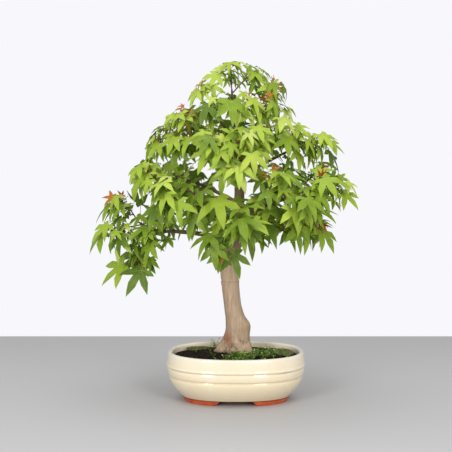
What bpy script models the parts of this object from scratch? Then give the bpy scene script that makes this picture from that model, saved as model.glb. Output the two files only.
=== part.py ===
"""A Japanese maple bonsai in an oval glazed pot.

Metres, +Z up, the tree's front faces -Y. The model is drawn about the pot's centre on the table
and set down at the end with its whole box centred over the origin.
"""

import math
import random

import bmesh
import bpy
from mathutils import Matrix, Vector, noise
from mathutils.bvhtree import BVHTree

MM = 0.001
UP = Vector((0.0, 0.0, 1.0))
FRONT = Vector((0.0, -1.0, 0.0))

GAP = 0.0004                    # air between pieces that touch

# The pot: heights are above the table, insets are measured in from its widest oval.
POT_LENGTH = 0.201
POT_DEPTH = 0.153
POT_HEIGHT = 0.071
OVAL_POWER = 2.3                # 2 is an ellipse, more is squarer
OVAL_SIDES = 32
FOOT_HEIGHT = 0.008
BASE_INSET = 0.020
RIM_INSET = 0.0024              # outside of the rim
RIM_WIDTH = 0.0066
FLOOR_THICKNESS = 0.006
RIDGE_DROP = 0.019              # below the rim: the widest place
UPPER_GROOVE_DROP = 0.0215
LOWER_GROOVE_DROP = 0.035
GROOVE_DEPTH = 0.0010
BAND_INSET = 0.0014             # the band between the grooves
SHOULDER_INSET = 0.0036         # the body just under the lower groove

# The four clay feet, arcs of the base's oval.
FOOT_TOP_INSET = 0.0010         # in from the glazed base
FOOT_BATTER = 0.0045            # how far the foot draws in towards the table
FOOT_WIDTH = 0.018
FOOT_FRONT_GAP = 0.046          # between the two front feet, at the top
FOOT_SIDE_GAP = 0.026           # between a front and a back foot, at the top
FOOT_END_SLOPE = 0.008          # each end's slant

# Drain holes with their plastic screens and wire clips.
DRAIN_SPACING = 0.090
SCREEN_SIDE = 0.024
SCREEN_CELLS = 5
SCREEN_THICKNESS = 0.0010
CLIP_RADIUS = 0.0006
CLIP_TAIL = 0.006               # bent out under the pot's floor

# The soil.
SOIL_DROP = 0.0085              # below the rim, at the wall
SOIL_MOUND = 0.0075             # higher around the trunk
SOIL_ROUGHNESS = 0.0009

# The tree. Places on it are written in millimetres from the trunk's foot, for a tree of the
# drawn size, and stretch with the three sizes under it.
DRAWN_SPREAD, DRAWN_DEPTH, DRAWN_HEIGHT = 373.0, 300.0, 412.0
CROWN_SPREAD = 0.373
CROWN_DEPTH = 0.300
TREE_HEIGHT = 0.412
TRUNK_THICKNESS = 1.0           # all radii of the wood go with it
ROOT_DEPTH = 0.024
TRUNK_SIDES = 18
LIMB_SIDES = 6
TWIG_SIDES = 6                  # even, so that leaves can face each other
TWIG_RADIUS = 0.0012            # at its foot
TWIG_TAPER = 0.42               # the share lost towards its tip
LEAF_LENGTH = 0.036             # a middling leaf, stalk's end to the tip of its middle lobe
LEAF_THICKNESS = 0.0008
STALK_WIDTH = 0.0011
LEAF_SPACE = 0.0006             # air kept around a leaf on each side

RIM_TOP = POT_HEIGHT
FLOOR_TOP = FOOT_HEIGHT + FLOOR_THICKNESS
SOIL_EDGE = POT_HEIGHT - SOIL_DROP
SOIL_TOP = SOIL_EDGE + SOIL_MOUND
INNER_INSET = RIM_INSET + RIM_WIDTH
SCREEN_CELL = SCREEN_SIDE / SCREEN_CELLS
CLIP_REACH = SCREEN_CELL
DRAIN_RADIUS = math.hypot(CLIP_REACH, SCREEN_CELL) + CLIP_RADIUS + 2.0 * GAP

# Centre line of the trunk: x, y, height, radius, in millimetres.
TRUNK_ROUTE = (
    (1.0, 0.0, -24.0, 12.0), (1.2, 0.0, -8.0, 16.5), (1.4, 0.0, 4.0, 18.0), (1.5, 0.0, 16.0, 16.8),
    (1.8, 0.0, 29.0, 15.3), (1.2, -0.5, 39.0, 14.6), (-2.4, -1.0, 57.0, 12.5),
    (-6.0, -2.0, 80.0, 12.6), (-8.6, -2.0, 105.0, 13.0), (-9.6, -1.0, 124.0, 13.2),
    (-4.4, 0.0, 147.0, 11.2), (-1.2, 1.0, 162.0, 10.8), (3.0, 3.0, 190.0, 8.8),
    (5.0, 2.0, 230.0, 7.4), (3.0, -2.0, 264.0, 6.2), (0.0, -4.0, 300.0, 4.8),
    (-4.0, -2.0, 340.0, 3.2), (-6.0, 2.0, 376.0, 1.7),
)

# Surface roots: bearing in degrees, reach beyond the trunk as a share of its radius, half angle.
ROOTS = ((182.0, 1.05, 20.0), (-38.0, 0.85, 22.0), (-108.0, 0.45, 17.0),
         (70.0, 0.70, 24.0), (128.0, 0.60, 20.0), (15.0, 0.35, 16.0))
ROOT_FLARE = 0.016              # height over which the roots rise into the trunk

# Limbs: route in millimetres from inside the trunk outwards, radius at the base and at the tip.
LIMBS = {
    "low_left": (((-1, 0, 158), (-34, -8, 168), (-75, -19, 175), (-113, -16, 176), (-139, -11, 188)),
                 5.2, 1.7),
    "low_right": (((-3, 0, 150), (28, -6, 170), (67, -13, 188), (102, -18, 198), (126, -16, 216)), 4.8, 1.6),
    "low_front": (((1, 2, 176), (-8, -38, 186), (-14, -73, 192), (-8, -95, 188)), 3.9, 1.5),
    "low_back": (((0, 1, 168), (0, 44, 182), (7, 81, 196), (9, 103, 196)), 4.2, 1.5),
    "front_left": (((4, 3, 206), (-38, -34, 224), (-74, -55, 238), (-99, -63, 242)), 3.8, 1.4),
    "front_right": (((4, 3, 198), (42, -36, 213), (69, -59, 224), (90, -70, 226)), 3.8, 1.4),
    "back_left": (((4, 3, 214), (-40, 38, 234), (-79, 59, 248), (-107, 62, 252)), 3.8, 1.4),
    "back_right": (((4, 3, 194), (44, 38, 214), (80, 56, 232), (104, 62, 240)), 3.8, 1.4),
    "mid_left": (((5, 1, 244), (-36, -4, 272), (-74, -6, 300), (-94, -4, 322)), 3.5, 1.3),
    "mid_right": (((4, 1, 250), (42, 2, 272), (78, 4, 290), (104, 2, 300)), 3.5, 1.3),
    "mid_front": (((3, -2, 264), (6, -34, 286), (8, -63, 300), (4, -79, 304)), 3.1, 1.3),
    "mid_back": (((3, -2, 272), (-2, 34, 296), (-6, 63, 312), (-4, 78, 318)), 3.1, 1.3),
    "high_left": (((0, -4, 304), (-22, -8, 330), (-40, -13, 348), (-47, -11, 360)), 2.7, 1.2),
    "high_right": (((0, -4, 298), (26, 4, 324), (44, 8, 344), (52, 6, 356)), 2.7, 1.2),
}

# Leafy twigs: the limb, the share of the limb where each leaves it, its tip, its leaves' size.
TWIGS = (
    ("leader", 1.00, (-12, -2, 408), 0.70), ("leader", 0.95, (22, -10, 398), 0.85),
    ("high_left", 1.00, (-56, -16, 382), 0.85), ("high_left", 0.62, (-28, -47, 360), 1.00),
    ("high_right", 1.00, (54, -6, 382), 0.85), ("high_right", 0.45, (14, -45, 362), 1.00),
    ("high_right", 0.78, (38, -31, 356), 0.95), ("mid_left", 0.92, (-72, -16, 346), 0.95),
    ("mid_left", 0.66, (-71, -34, 306), 1.05), ("mid_left", 1.00, (-107, -9, 304), 0.95),
    ("mid_left", 0.80, (-68, 26, 332), 0.95), ("mid_front", 1.00, (-27, -65, 302), 1.05),
    ("mid_front", 0.90, (-5, -82, 276), 1.10), ("mid_front", 0.75, (21, -59, 316), 0.95),
    ("mid_right", 0.55, (48, -36, 318), 1.00), ("mid_right", 0.82, (82, -32, 306), 1.00),
    ("mid_right", 1.00, (114, -8, 302), 0.95), ("mid_back", 1.00, (-28, 65, 312), 0.95),
    ("mid_back", 0.92, (20, 70, 314), 0.95), ("mid_back", 0.70, (2, 77, 276), 1.00),
    ("front_left", 1.00, (-123, -52, 264), 1.00), ("front_left", 0.85, (-93, -82, 226), 1.20),
    ("front_left", 0.55, (-49, -81, 216), 1.20), ("front_right", 1.00, (112, -73, 246), 1.10),
    ("front_right", 0.60, (48, -77, 254), 1.00), ("front_right", 0.88, (83, -88, 222), 1.15),
    ("back_left", 1.00, (-128, 51, 264), 1.00), ("back_left", 0.75, (-80, 79, 250), 1.05),
    ("back_right", 1.00, (122, 51, 258), 1.00), ("back_right", 0.75, (77, 80, 246), 1.05),
    ("low_left", 1.00, (-162, -12, 218), 0.90), ("low_left", 0.93, (-163, -36, 178), 0.95),
    ("low_left", 0.74, (-126, -49, 170), 1.00), ("low_left", 0.84, (-136, -30, 136), 1.25),
    ("low_left", 0.78, (-109, 27, 186), 1.00), ("low_front", 1.00, (-22, -93, 162), 0.90),
    ("low_front", 0.95, (7, -107, 200), 1.10), ("low_right", 0.40, (29, -53, 190), 1.05),
    ("low_right", 0.66, (66, -60, 194), 1.30), ("low_right", 0.82, (104, -44, 190), 1.00),
    ("low_right", 1.00, (139, -29, 244), 1.00), ("low_right", 0.78, (91, 26, 196), 1.00),
    ("low_back", 1.00, (-23, 103, 200), 1.05), ("low_back", 0.92, (31, 106, 206), 1.05),
)

# The crown's outline from the front: height, then how far it reaches left and right of the foot.
# From above it is an oval, as deep as CROWN_DEPTH makes it.
OUTLINE = (
    (60, 185, 70), (120, 190, 90), (140, 197, 128), (164, 199, 160), (190, 195, 175), (221, 174, 178),
    (257, 142, 172), (286, 127, 150), (307, 111, 132), (326, 103, 104), (343, 90, 78), (364, 67, 70),
    (379, 54, 66), (396, 44, 60), (414, 26, 24), (424, 8, 6),
)
TIP_SHARE = 0.97                # of the way out to the outline, for the tips of twigs
LEAF_SHARE = 1.12               # and for the tips of leaves
LEAF_DROP = 0.048               # how far a leaf may hang below its twig's tip

# One leaf: each lobe's bearing from the middle lobe in degrees, and its length as a share.
LOBES = ((-98.0, 0.46), (-47.0, 0.86), (0.0, 1.00), (47.0, 0.86), (98.0, 0.46))
NOTCH = 0.36                    # beside the middle lobe
BLADE_CENTRE = 0.14             # where the blade's facets meet, below every notch
LEAF_PAIRS = 2
PAIR_SPACING = 0.34             # as a share of the twig
SHARPEST_BEND = 0.2             # cosine between a stalk and its blade
LEAF_SEED = 41
TRIES = 90                      # ways to hang a leaf before its place stays bare


def clear_scene():
    for item in list(bpy.data.objects):
        bpy.data.objects.remove(item, do_unlink=True)


def material(name, colour, roughness, metallic=0.0):
    made = bpy.data.materials.new(name)
    made.use_nodes = True
    shader = made.node_tree.nodes["Principled BSDF"]
    shader.inputs["Base Color"].default_value = (*colour, 1.0)
    shader.inputs["Roughness"].default_value = roughness
    shader.inputs["Metallic"].default_value = metallic
    return made


def make_object(name, mesh_builder, finish, smooth=True):
    mesh = bpy.data.meshes.new(name)
    mesh_builder.to_mesh(mesh)
    mesh_builder.free()
    if smooth:
        mesh.shade_smooth()
        mesh.set_sharp_from_angle(angle=math.radians(40.0))
    made = bpy.data.objects.new(name, mesh)
    made.data.materials.append(finish)
    bpy.context.scene.collection.objects.link(made)
    return made


def as_tool(item):
    item.hide_render = True
    item.display_type = 'WIRE'
    return item


def boolean(item, tool, operation, crossing=False):
    """Combine two meshes; crossing says that the tool's own bodies pass through each other."""
    modifier = item.modifiers.new(operation.title(), 'BOOLEAN')
    modifier.operation = operation
    modifier.solver = 'EXACT'
    modifier.use_self = crossing
    modifier.object = as_tool(tool)
    return item


# ---------------------------------------------------------------- shapes

def loft(builder, rings, split=False):
    """Skin closed rings of equal length and cap both ends; split makes each wall face triangles."""
    skins = [[builder.verts.new(point) for point in ring] for ring in rings]
    count = len(rings[0])
    for lower, upper in zip(skins, skins[1:]):
        for i in range(count):
            j = (i + 1) % count
            if split:
                builder.faces.new((lower[i], lower[j], upper[j]))
                builder.faces.new((lower[i], upper[j], upper[i]))
            else:
                builder.faces.new((lower[i], lower[j], upper[j], upper[i]))
    builder.faces.new(list(reversed(skins[0])))
    builder.faces.new(skins[-1])


def smooth_route(stations, count):
    """Catmull-Rom samples through stations of any number of values each."""
    ends = [stations[0], *stations, stations[-1]]
    samples = []
    for step in range(count):
        place = (len(stations) - 1) * step / (count - 1)
        i = min(int(place), len(stations) - 2)
        t = place - i
        a, b, c, d = ends[i:i + 4]
        samples.append(tuple(
            0.5 * (2 * q + (r - p) * t + (2 * p - 5 * q + 4 * r - s) * t * t
                   + (3 * q - p - 3 * r + s) * t ** 3)
            for p, q, r, s in zip(a, b, c, d)))
    return samples


def route_frames(centres):
    """A turning-free pair of side vectors at each point of a route."""
    frames = []
    side = None
    for i, centre in enumerate(centres):
        ahead = centres[min(i + 1, len(centres) - 1)] - centres[max(i - 1, 0)]
        ahead.normalize()
        if side is None:
            side = ahead.orthogonal()
        side = (side - ahead * side.dot(ahead)).normalized()
        frames.append((ahead, side, ahead.cross(side)))
    return frames


def tube_rings(centres, radii, sides):
    rings = []
    for centre, radius, (_, side, across) in zip(centres, radii, route_frames(centres)):
        rings.append([centre + radius * (side * math.cos(2 * math.pi * k / sides)
                                         + across * math.sin(2 * math.pi * k / sides))
                      for k in range(sides)])
    return rings


# ---------------------------------------------------------------- pot

def oval(inset, z, sides=OVAL_SIDES):
    half_x = POT_LENGTH / 2 - inset
    half_y = POT_DEPTH / 2 - inset
    points = []
    for k in range(sides):
        angle = 2 * math.pi * k / sides
        c, s = math.cos(angle), math.sin(angle)
        reach = (abs(c) ** OVAL_POWER + abs(s) ** OVAL_POWER) ** (-1 / OVAL_POWER)
        points.append(Vector((half_x * c * reach, half_y * s * reach, z)))
    return points


def belly(share):
    """Inset of the body from its base to the shoulder, full below and steep above."""
    return SHOULDER_INSET + (BASE_INSET - SHOULDER_INSET) * (1 - share) ** 1.7


def wall_outside():
    """Inset and height of the outside from the base to the rim."""
    shoulder = RIM_TOP - LOWER_GROOVE_DROP
    upper_groove = RIM_TOP - UPPER_GROOVE_DROP
    ridge = RIM_TOP - RIDGE_DROP
    profile = [(belly(k / 4), FOOT_HEIGHT + (shoulder - FOOT_HEIGHT) * k / 4) for k in range(5)]
    profile += [
        (SHOULDER_INSET + GROOVE_DEPTH, shoulder + GROOVE_DEPTH),
        (BAND_INSET + 0.0006, shoulder + 3 * GROOVE_DEPTH),
        (BAND_INSET, upper_groove - 3 * GROOVE_DEPTH),
        (BAND_INSET + GROOVE_DEPTH, upper_groove),
        (0.0, ridge),
        (RIM_INSET * 0.5, (ridge + RIM_TOP) / 2),
        (RIM_INSET, RIM_TOP - 0.003),
    ]
    return profile


def wall_inside(clearance=0.0):
    """Inset and height of the inside from the rim down to the floor."""
    floor = FLOOR_TOP + clearance
    depth = RIM_TOP - 0.003 - floor
    return [(INNER_INSET + clearance + (BASE_INSET - RIM_INSET) * (k / 4) ** 2.2,
             RIM_TOP - 0.003 - depth * k / 4) for k in range(5)]


def drain_places():
    return (Vector((-DRAIN_SPACING / 2, 0, 0)), Vector((DRAIN_SPACING / 2, 0, 0)))


def pot(glaze):
    rim = [(RIM_INSET + 0.0016, RIM_TOP - 0.0006), (RIM_INSET + RIM_WIDTH / 2, RIM_TOP),
           (INNER_INSET - 0.0014, RIM_TOP - 0.0007)]
    builder = bmesh.new()
    loft(builder, [oval(inset, z) for inset, z in wall_outside() + rim + wall_inside()])
    made = make_object("pot", builder, glaze)
    for place in drain_places():
        cutter = bmesh.new()
        bmesh.ops.create_cone(cutter, cap_ends=True, segments=16, radius1=DRAIN_RADIUS,
                              radius2=DRAIN_RADIUS, depth=4 * FLOOR_THICKNESS,
                              matrix=Matrix.Translation(place + UP * (FLOOR_TOP + FOOT_HEIGHT) / 2))
        boolean(made, make_object("drain_cutter", cutter, glaze), 'DIFFERENCE')
    return made


def oval_point(inset, angle):
    half_x = POT_LENGTH / 2 - inset
    half_y = POT_DEPTH / 2 - inset
    c, s = math.cos(angle), math.sin(angle)
    reach = (abs(c) ** OVAL_POWER + abs(s) ** OVAL_POWER) ** (-1 / OVAL_POWER)
    return Vector((half_x * c * reach, half_y * s * reach, 0))


def oval_angle(inset, x=None, y=None):
    """The bearing in the first quarter where the oval is at this x or this y."""
    low, high = 0.0, math.pi / 2
    for _ in range(40):
        middle = (low + high) / 2
        point = oval_point(inset, middle)
        beyond = point.x < x if x is not None else point.y > y
        low, high = (low, middle) if beyond else (middle, high)
    return (low + high) / 2


def foot(name, mirror_x, mirror_y, clay, steps=7):
    """An arc of the base's oval with slanted ends, drawn in towards the table."""
    builder = bmesh.new()
    outer = BASE_INSET + FOOT_TOP_INSET
    rings = []
    for inset, trim, z in ((outer + FOOT_BATTER, FOOT_END_SLOPE, 0.0),
                           (outer, 0.0, FOOT_HEIGHT - GAP)):
        width = FOOT_WIDTH - (inset - outer)
        start = oval_angle(inset, y=FOOT_SIDE_GAP / 2 + trim)
        end = oval_angle(inset, x=FOOT_FRONT_GAP / 2 + trim)
        angles = [start + (end - start) * k / steps for k in range(steps + 1)]
        ring = [oval_point(inset, a) for a in angles]
        ring += [oval_point(inset + width, a) for a in reversed(angles)]
        rings.append([Vector((p.x * mirror_x, p.y * mirror_y, z)) for p in ring])
    loft(builder, rings)
    bmesh.ops.recalc_face_normals(builder, faces=builder.faces)
    return make_object(name, builder, clay)


def drain_screen(name, place, plastic):
    """A square of plastic mesh over the drain hole."""
    builder = bmesh.new()
    bmesh.ops.create_grid(builder, x_segments=SCREEN_CELLS, y_segments=SCREEN_CELLS,
                          size=SCREEN_SIDE / 2)
    open_cells = []
    for face in builder.faces:
        centre = face.calc_center_median()
        column = round((centre.x + SCREEN_SIDE / 2) / SCREEN_CELL - 0.5)
        row = round((centre.y + SCREEN_SIDE / 2) / SCREEN_CELL - 0.5)
        if column % 2 and row % 2:
            open_cells.append(face)
    bmesh.ops.delete(builder, geom=open_cells, context='FACES')
    skin = bmesh.ops.extrude_face_region(builder, geom=builder.faces[:] + builder.edges[:])
    raised = [item for item in skin["geom"] if isinstance(item, bmesh.types.BMVert)]
    bmesh.ops.translate(builder, vec=UP * SCREEN_THICKNESS, verts=raised)
    bmesh.ops.translate(builder, vec=place + UP * (FLOOR_TOP + GAP), verts=builder.verts)
    bmesh.ops.recalc_face_normals(builder, faces=builder.faces)
    return make_object(name, builder, plastic, smooth=False)


def clip_top():
    return FLOOR_TOP + GAP + SCREEN_THICKNESS + GAP + CLIP_RADIUS


def screen_clip(name, place, wire):
    """A bent wire that holds the screen down through the drain hole."""
    tail = FOOT_HEIGHT - GAP - CLIP_RADIUS
    bend = 2 * CLIP_RADIUS
    corners = [(-CLIP_REACH - CLIP_TAIL, tail), (-CLIP_REACH - bend, tail),
               (-CLIP_REACH, tail + bend), (-CLIP_REACH, clip_top() - bend / 2),
               (-CLIP_REACH + bend / 2, clip_top())]
    corners += [(-x, z) for x, z in reversed(corners)]
    centres = [place + Vector((x, SCREEN_CELL, z)) for x, z in corners]
    builder = bmesh.new()
    loft(builder, tube_rings(centres, [CLIP_RADIUS] * len(centres), 6))
    return make_object(name, builder, wire)


# ---------------------------------------------------------------- soil and what grows on it

def soil_height(x, y):
    share = min(1.0, math.hypot(x / (POT_LENGTH / 2 - INNER_INSET), y / (POT_DEPTH / 2 - INNER_INSET)))
    bumps = noise.noise(Vector((x, y, 0)) / 0.011)
    return SOIL_EDGE + SOIL_MOUND * (1 - share ** 2) + SOIL_ROUGHNESS * bumps


def soil_solid(name, earth, raised=0.0):
    """The soil's body inside the pot, or a copy of it lifted a little to cut what lies on it."""
    builder = bmesh.new()
    inside = [(inset, z) for inset, z in wall_inside(GAP) if z < SOIL_EDGE - 0.003]
    edge_inset = INNER_INSET + GAP
    rings = [oval(inset, z) for inset, z in reversed(inside)]
    rim_ring = oval(edge_inset, 0.0)
    top_rings = [[Vector((p.x * share, p.y * share, soil_height(p.x * share, p.y * share)))
                  for p in rim_ring] for share in (1.0, 0.86, 0.70, 0.54, 0.38, 0.22)]
    loft(builder, rings + top_rings)
    bmesh.ops.translate(builder, vec=UP * raised, verts=builder.verts)
    return make_object(name, builder, earth)


def soil(earth, trunk_cutter):
    made = soil_solid("soil", earth)
    boolean(made, trunk_cutter, 'DIFFERENCE')
    for place in drain_places():
        pocket = bmesh.new()
        side = SCREEN_SIDE + 4 * GAP
        top = clip_top() + CLIP_RADIUS + 2 * GAP
        bmesh.ops.create_cube(pocket, size=1.0, matrix=Matrix.Translation(place + UP * top / 2)
                              @ Matrix.Diagonal((side, side, top, 1.0)))
        boolean(made, make_object("screen_pocket", pocket, earth), 'DIFFERENCE')
    return made


def moss(name, x, y, length, width, turn, finish, lifted_soil):
    """A low cushion lying on the soil."""
    builder = bmesh.new()
    bmesh.ops.create_icosphere(builder, subdivisions=2, radius=1.0)
    for vert in builder.verts:
        vert.co *= 1.0 + 0.16 * noise.noise(vert.co * 1.7 + Vector((x, y, 0)) / MM)
    height = 0.0034
    place = Vector((x, y, soil_height(x, y)))
    builder.transform(Matrix.Translation(place) @ Matrix.Rotation(math.radians(turn), 4, 'Z')
                      @ Matrix.Diagonal((length / 2, width / 2, height, 1.0)))
    return boolean(make_object(name, builder, finish), lifted_soil, 'DIFFERENCE')


def blade(builder, foot_point, lean, length, widths, rise):
    """A small flat leaf on its stem, bending outwards from its foot."""
    across = lean.cross(UP).normalized()
    rings = []
    last = len(widths) - 1
    for k, width in enumerate(widths):
        share = k / last
        centre = (foot_point + lean * length * share * (0.35 + 0.65 * share)
                  + UP * length * rise * (share - 0.35 * share * share))
        thick = UP.cross(across) * 0.0002 + UP * 0.0006
        half = across * width / 2
        rings.append([centre - half, centre - half + thick, centre + half + thick, centre + half])
    loft(builder, rings)


def tuft(name, x, y, count, length, widths, rise, seed, finish, lifted_soil):
    """Small stems that share one root crown at the soil."""
    rng = random.Random(seed)
    place = Vector((x, y, soil_height(x, y)))
    leaves = bmesh.new()
    for k in range(count):
        angle = 2 * math.pi * (k + 0.35 * rng.random()) / count
        lean = Vector((math.cos(angle), math.sin(angle), 0))
        blade(leaves, place + lean * 0.0009 + UP * 0.0012, lean, length * rng.uniform(0.75, 1.1),
              widths, rise * rng.uniform(0.85, 1.15))
    crown = bmesh.new()
    bmesh.ops.create_icosphere(crown, subdivisions=1, radius=0.0030,
                               matrix=Matrix.Translation(place + UP * 0.0008))
    made = make_object(name, crown, finish)
    boolean(made, make_object(name + "_blades", leaves, finish), 'UNION', crossing=True)
    return boolean(made, lifted_soil, 'DIFFERENCE')


# ---------------------------------------------------------------- wood

def on_tree(x, y, height):
    return Vector((x * CROWN_SPREAD / DRAWN_SPREAD, y * CROWN_DEPTH / DRAWN_DEPTH,
                   SOIL_TOP + height * TREE_HEIGHT / DRAWN_HEIGHT))


def share_of_crown(point):
    """How far out a place is: 0 at the crown's middle, 1 at its outline, 9 above the top."""
    x = point.x / CROWN_SPREAD * DRAWN_SPREAD
    y = point.y / CROWN_DEPTH * DRAWN_DEPTH
    height = (point.z - SOIL_TOP) / TREE_HEIGHT * DRAWN_HEIGHT
    if height > OUTLINE[-1][0]:
        return 9.0
    for (low, *near), (high, *far) in zip(OUTLINE, OUTLINE[1:]):
        if height <= high:
            part = max(0.0, (height - low) / (high - low))
            left, right = (a + (b - a) * part for a, b in zip(near, far))
            break
    deep = (left + right) / 2 * DRAWN_DEPTH / DRAWN_SPREAD
    return math.hypot(x / (left if x < 0 else right), y / deep)


def root_flare(angle, height):
    """How far the trunk swells towards each root, as a share of its radius."""
    rise = math.exp(-max(height, 0.0) / ROOT_FLARE)
    sink = min(1.0, max(0.0, 1.0 + height / ROOT_DEPTH))
    total = 0.0
    for bearing, reach, half_angle in ROOTS:
        away = (math.degrees(angle) - bearing + 180) % 360 - 180
        total += reach * math.exp(-(away / half_angle) ** 2)
    return total * rise * sink


def beside_trunk(x, y):
    """A place on the soil, which moves out with the roots when the trunk is made thicker."""
    bearing = math.atan2(y, x)
    widest = max(radius for *_, radius in TRUNK_ROUTE) * MM
    growth = (TRUNK_THICKNESS - 1.0) * widest * (1 + root_flare(bearing, 0.0))
    return x + growth * math.cos(bearing), y + growth * math.sin(bearing)


def trunk_rings(clearance=0.0):
    rings = []
    for x, y, height, radius in smooth_route(TRUNK_ROUTE, 22):
        centre = on_tree(x, y, height)
        above = centre.z - SOIL_TOP
        ring = []
        for k in range(TRUNK_SIDES):
            angle = 2 * math.pi * k / TRUNK_SIDES
            reach = radius * MM * TRUNK_THICKNESS * (1 + root_flare(angle, above)) + clearance
            ring.append(centre + reach * Vector((math.cos(angle), math.sin(angle), 0)))
        rings.append(ring)
    rings[0] = [point - UP * clearance for point in rings[0]]
    return rings


def limb_route(name, count=8):
    """Centres and radii along one limb, or along the trunk's own leader."""
    if name == "leader":
        samples = smooth_route(TRUNK_ROUTE, 4 * count)[-count:]
    else:
        route, base, tip = LIMBS[name]
        last = len(route) - 1
        stations = [(*point, base + (tip - base) * k / last) for k, point in enumerate(route)]
        samples = smooth_route(stations, count)
    centres = [on_tree(x, y, height) for x, y, height, _ in samples]
    radii = [radius * MM * TRUNK_THICKNESS for _, _, _, radius in samples]
    return centres, radii


def add_limbs(builder, clearance=0.0):
    for name in LIMBS:
        centres, radii = limb_route(name)
        loft(builder, tube_rings(centres, [radius + clearance for radius in radii], LIMB_SIDES))


def trunk(bark):
    builder = bmesh.new()
    loft(builder, trunk_rings(), split=True)
    made = make_object("trunk", builder, bark)
    limbs = bmesh.new()
    add_limbs(limbs)
    return boolean(made, make_object("limbs", limbs, bark), 'UNION', crossing=True)


# ---------------------------------------------------------------- twigs and leaves

def mesh_tree(builder):
    builder.verts.ensure_lookup_table()
    tree = BVHTree.FromBMesh(builder)
    builder.free()
    return tree


def wood_tree():
    builder = bmesh.new()
    loft(builder, trunk_rings(GAP), split=True)
    add_limbs(builder, GAP)
    return mesh_tree(builder)


def twig_route(limb, share, tip):
    """A twig leaves its limb, arches a little and ends at its tip."""
    centres, _ = limb_route(limb)
    place = share * (len(centres) - 1)
    i = min(int(place), len(centres) - 2)
    start = centres[i].lerp(centres[i + 1], place - i)
    end = on_tree(*tip)
    draw_in = min(1.0, TIP_SHARE / share_of_crown(end))
    end = Vector((end.x * draw_in, end.y * draw_in, end.z))
    reach = (end - start).length
    along = (centres[i + 1] - centres[i]).normalized()
    sideways = (end - start).normalized()
    bend = start.lerp(end, 0.45) + UP * 0.07 * reach + (sideways - along * 0.4) * 0.05 * reach
    return [Vector(sample) for sample in smooth_route([tuple(start), tuple(bend), tuple(end)], 40)]


def along_route(route, distance):
    for near, far in zip(route, route[1:]):
        step = (far - near).length
        if distance <= step:
            return near.lerp(far, distance / step)
        distance -= step
    return route[-1]


class Twig:
    """Rings of corners along a twig: at its foot, on both sides of each leaf pair and at its tip."""

    def __init__(self, route, leaf_size, grow=0.0):
        self.route = route
        self.leaf_size = leaf_size
        self.leaves = {}            # (segment, side) of the face that a leaf grows from
        length = sum((far - near).length for near, far in zip(route, route[1:]))
        places = [0.0]
        for pair in reversed(range(LEAF_PAIRS)):
            middle = length * (1.0 - PAIR_SPACING * pair) - STALK_WIDTH
            places += [middle - STALK_WIDTH / 2, middle + STALK_WIDTH / 2]
        places.append(length)
        radii = [TWIG_RADIUS * (1 - TWIG_TAPER * place / length) + grow for place in places]
        self.rings = tube_rings([along_route(route, place) for place in places], radii, TWIG_SIDES)

    def face_corners(self, segment, side):
        after = (side + 1) % TWIG_SIDES
        lower, upper = self.rings[segment], self.rings[segment + 1]
        return (lower[side], lower[after], upper[after], upper[side])

    def build(self, builder):
        skins = [[builder.verts.new(point) for point in ring] for ring in self.rings]
        for segment, (lower, upper) in enumerate(zip(skins, skins[1:])):
            for side in range(TWIG_SIDES):
                after = (side + 1) % TWIG_SIDES
                corners = (lower[side], lower[after], upper[after], upper[side])
                if (segment, side) in self.leaves:
                    add_leaf(builder, self.leaves[segment, side], near=corners)
                else:
                    builder.faces.new(corners)
        builder.faces.new(list(reversed(skins[0])))
        builder.faces.new(skins[-1])


def twig_space(route, size):
    """The twig's own space with air around it."""
    builder = bmesh.new()
    Twig(route, size, LEAF_SPACE).build(builder)
    return mesh_tree(builder)


def clear_of_wood(route, wood):
    """The twig's route with its foot drawn back until it stands free of the limb."""
    for first in range(len(route) // 2):
        if not twig_space(route[first:], 1.0).overlap(wood):
            return route[first:]
    raise ValueError("a twig never leaves the wood")


class Leaf:
    """One leaf's place: its stalk's foot, the blade's base, its three axes, its length and droop."""

    def __init__(self, foot_point, base, along, face, length, droop):
        self.foot_point = foot_point
        self.base = base
        self.along = along.normalized()
        self.face = (face - self.along * face.dot(self.along)).normalized()
        self.across = self.along.cross(self.face)
        self.length = length
        self.droop = droop

    def stalk(self):
        return (self.base - self.foot_point).normalized()

    def point(self, across, along):
        """A place on the blade, in shares of its length; lobes hang away from its face."""
        bend = self.droop * (across * across + along * along)
        return self.base + self.length * (self.across * across + self.along * along
                                          - self.face * bend)


def leaf_outline(grow=0.0):
    """The blade's corners, in shares of its length."""
    corners = [(bearing, reach) for bearing, reach in LOBES]
    middle = len(corners) // 2
    for at in (middle + 1, middle):
        corners.insert(at, ((corners[at - 1][0] + corners[at][0]) / 2, NOTCH))
    return [(math.sin(math.radians(bearing)) * (reach + grow),
             math.cos(math.radians(bearing)) * (reach + grow)) for bearing, reach in corners]


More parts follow.
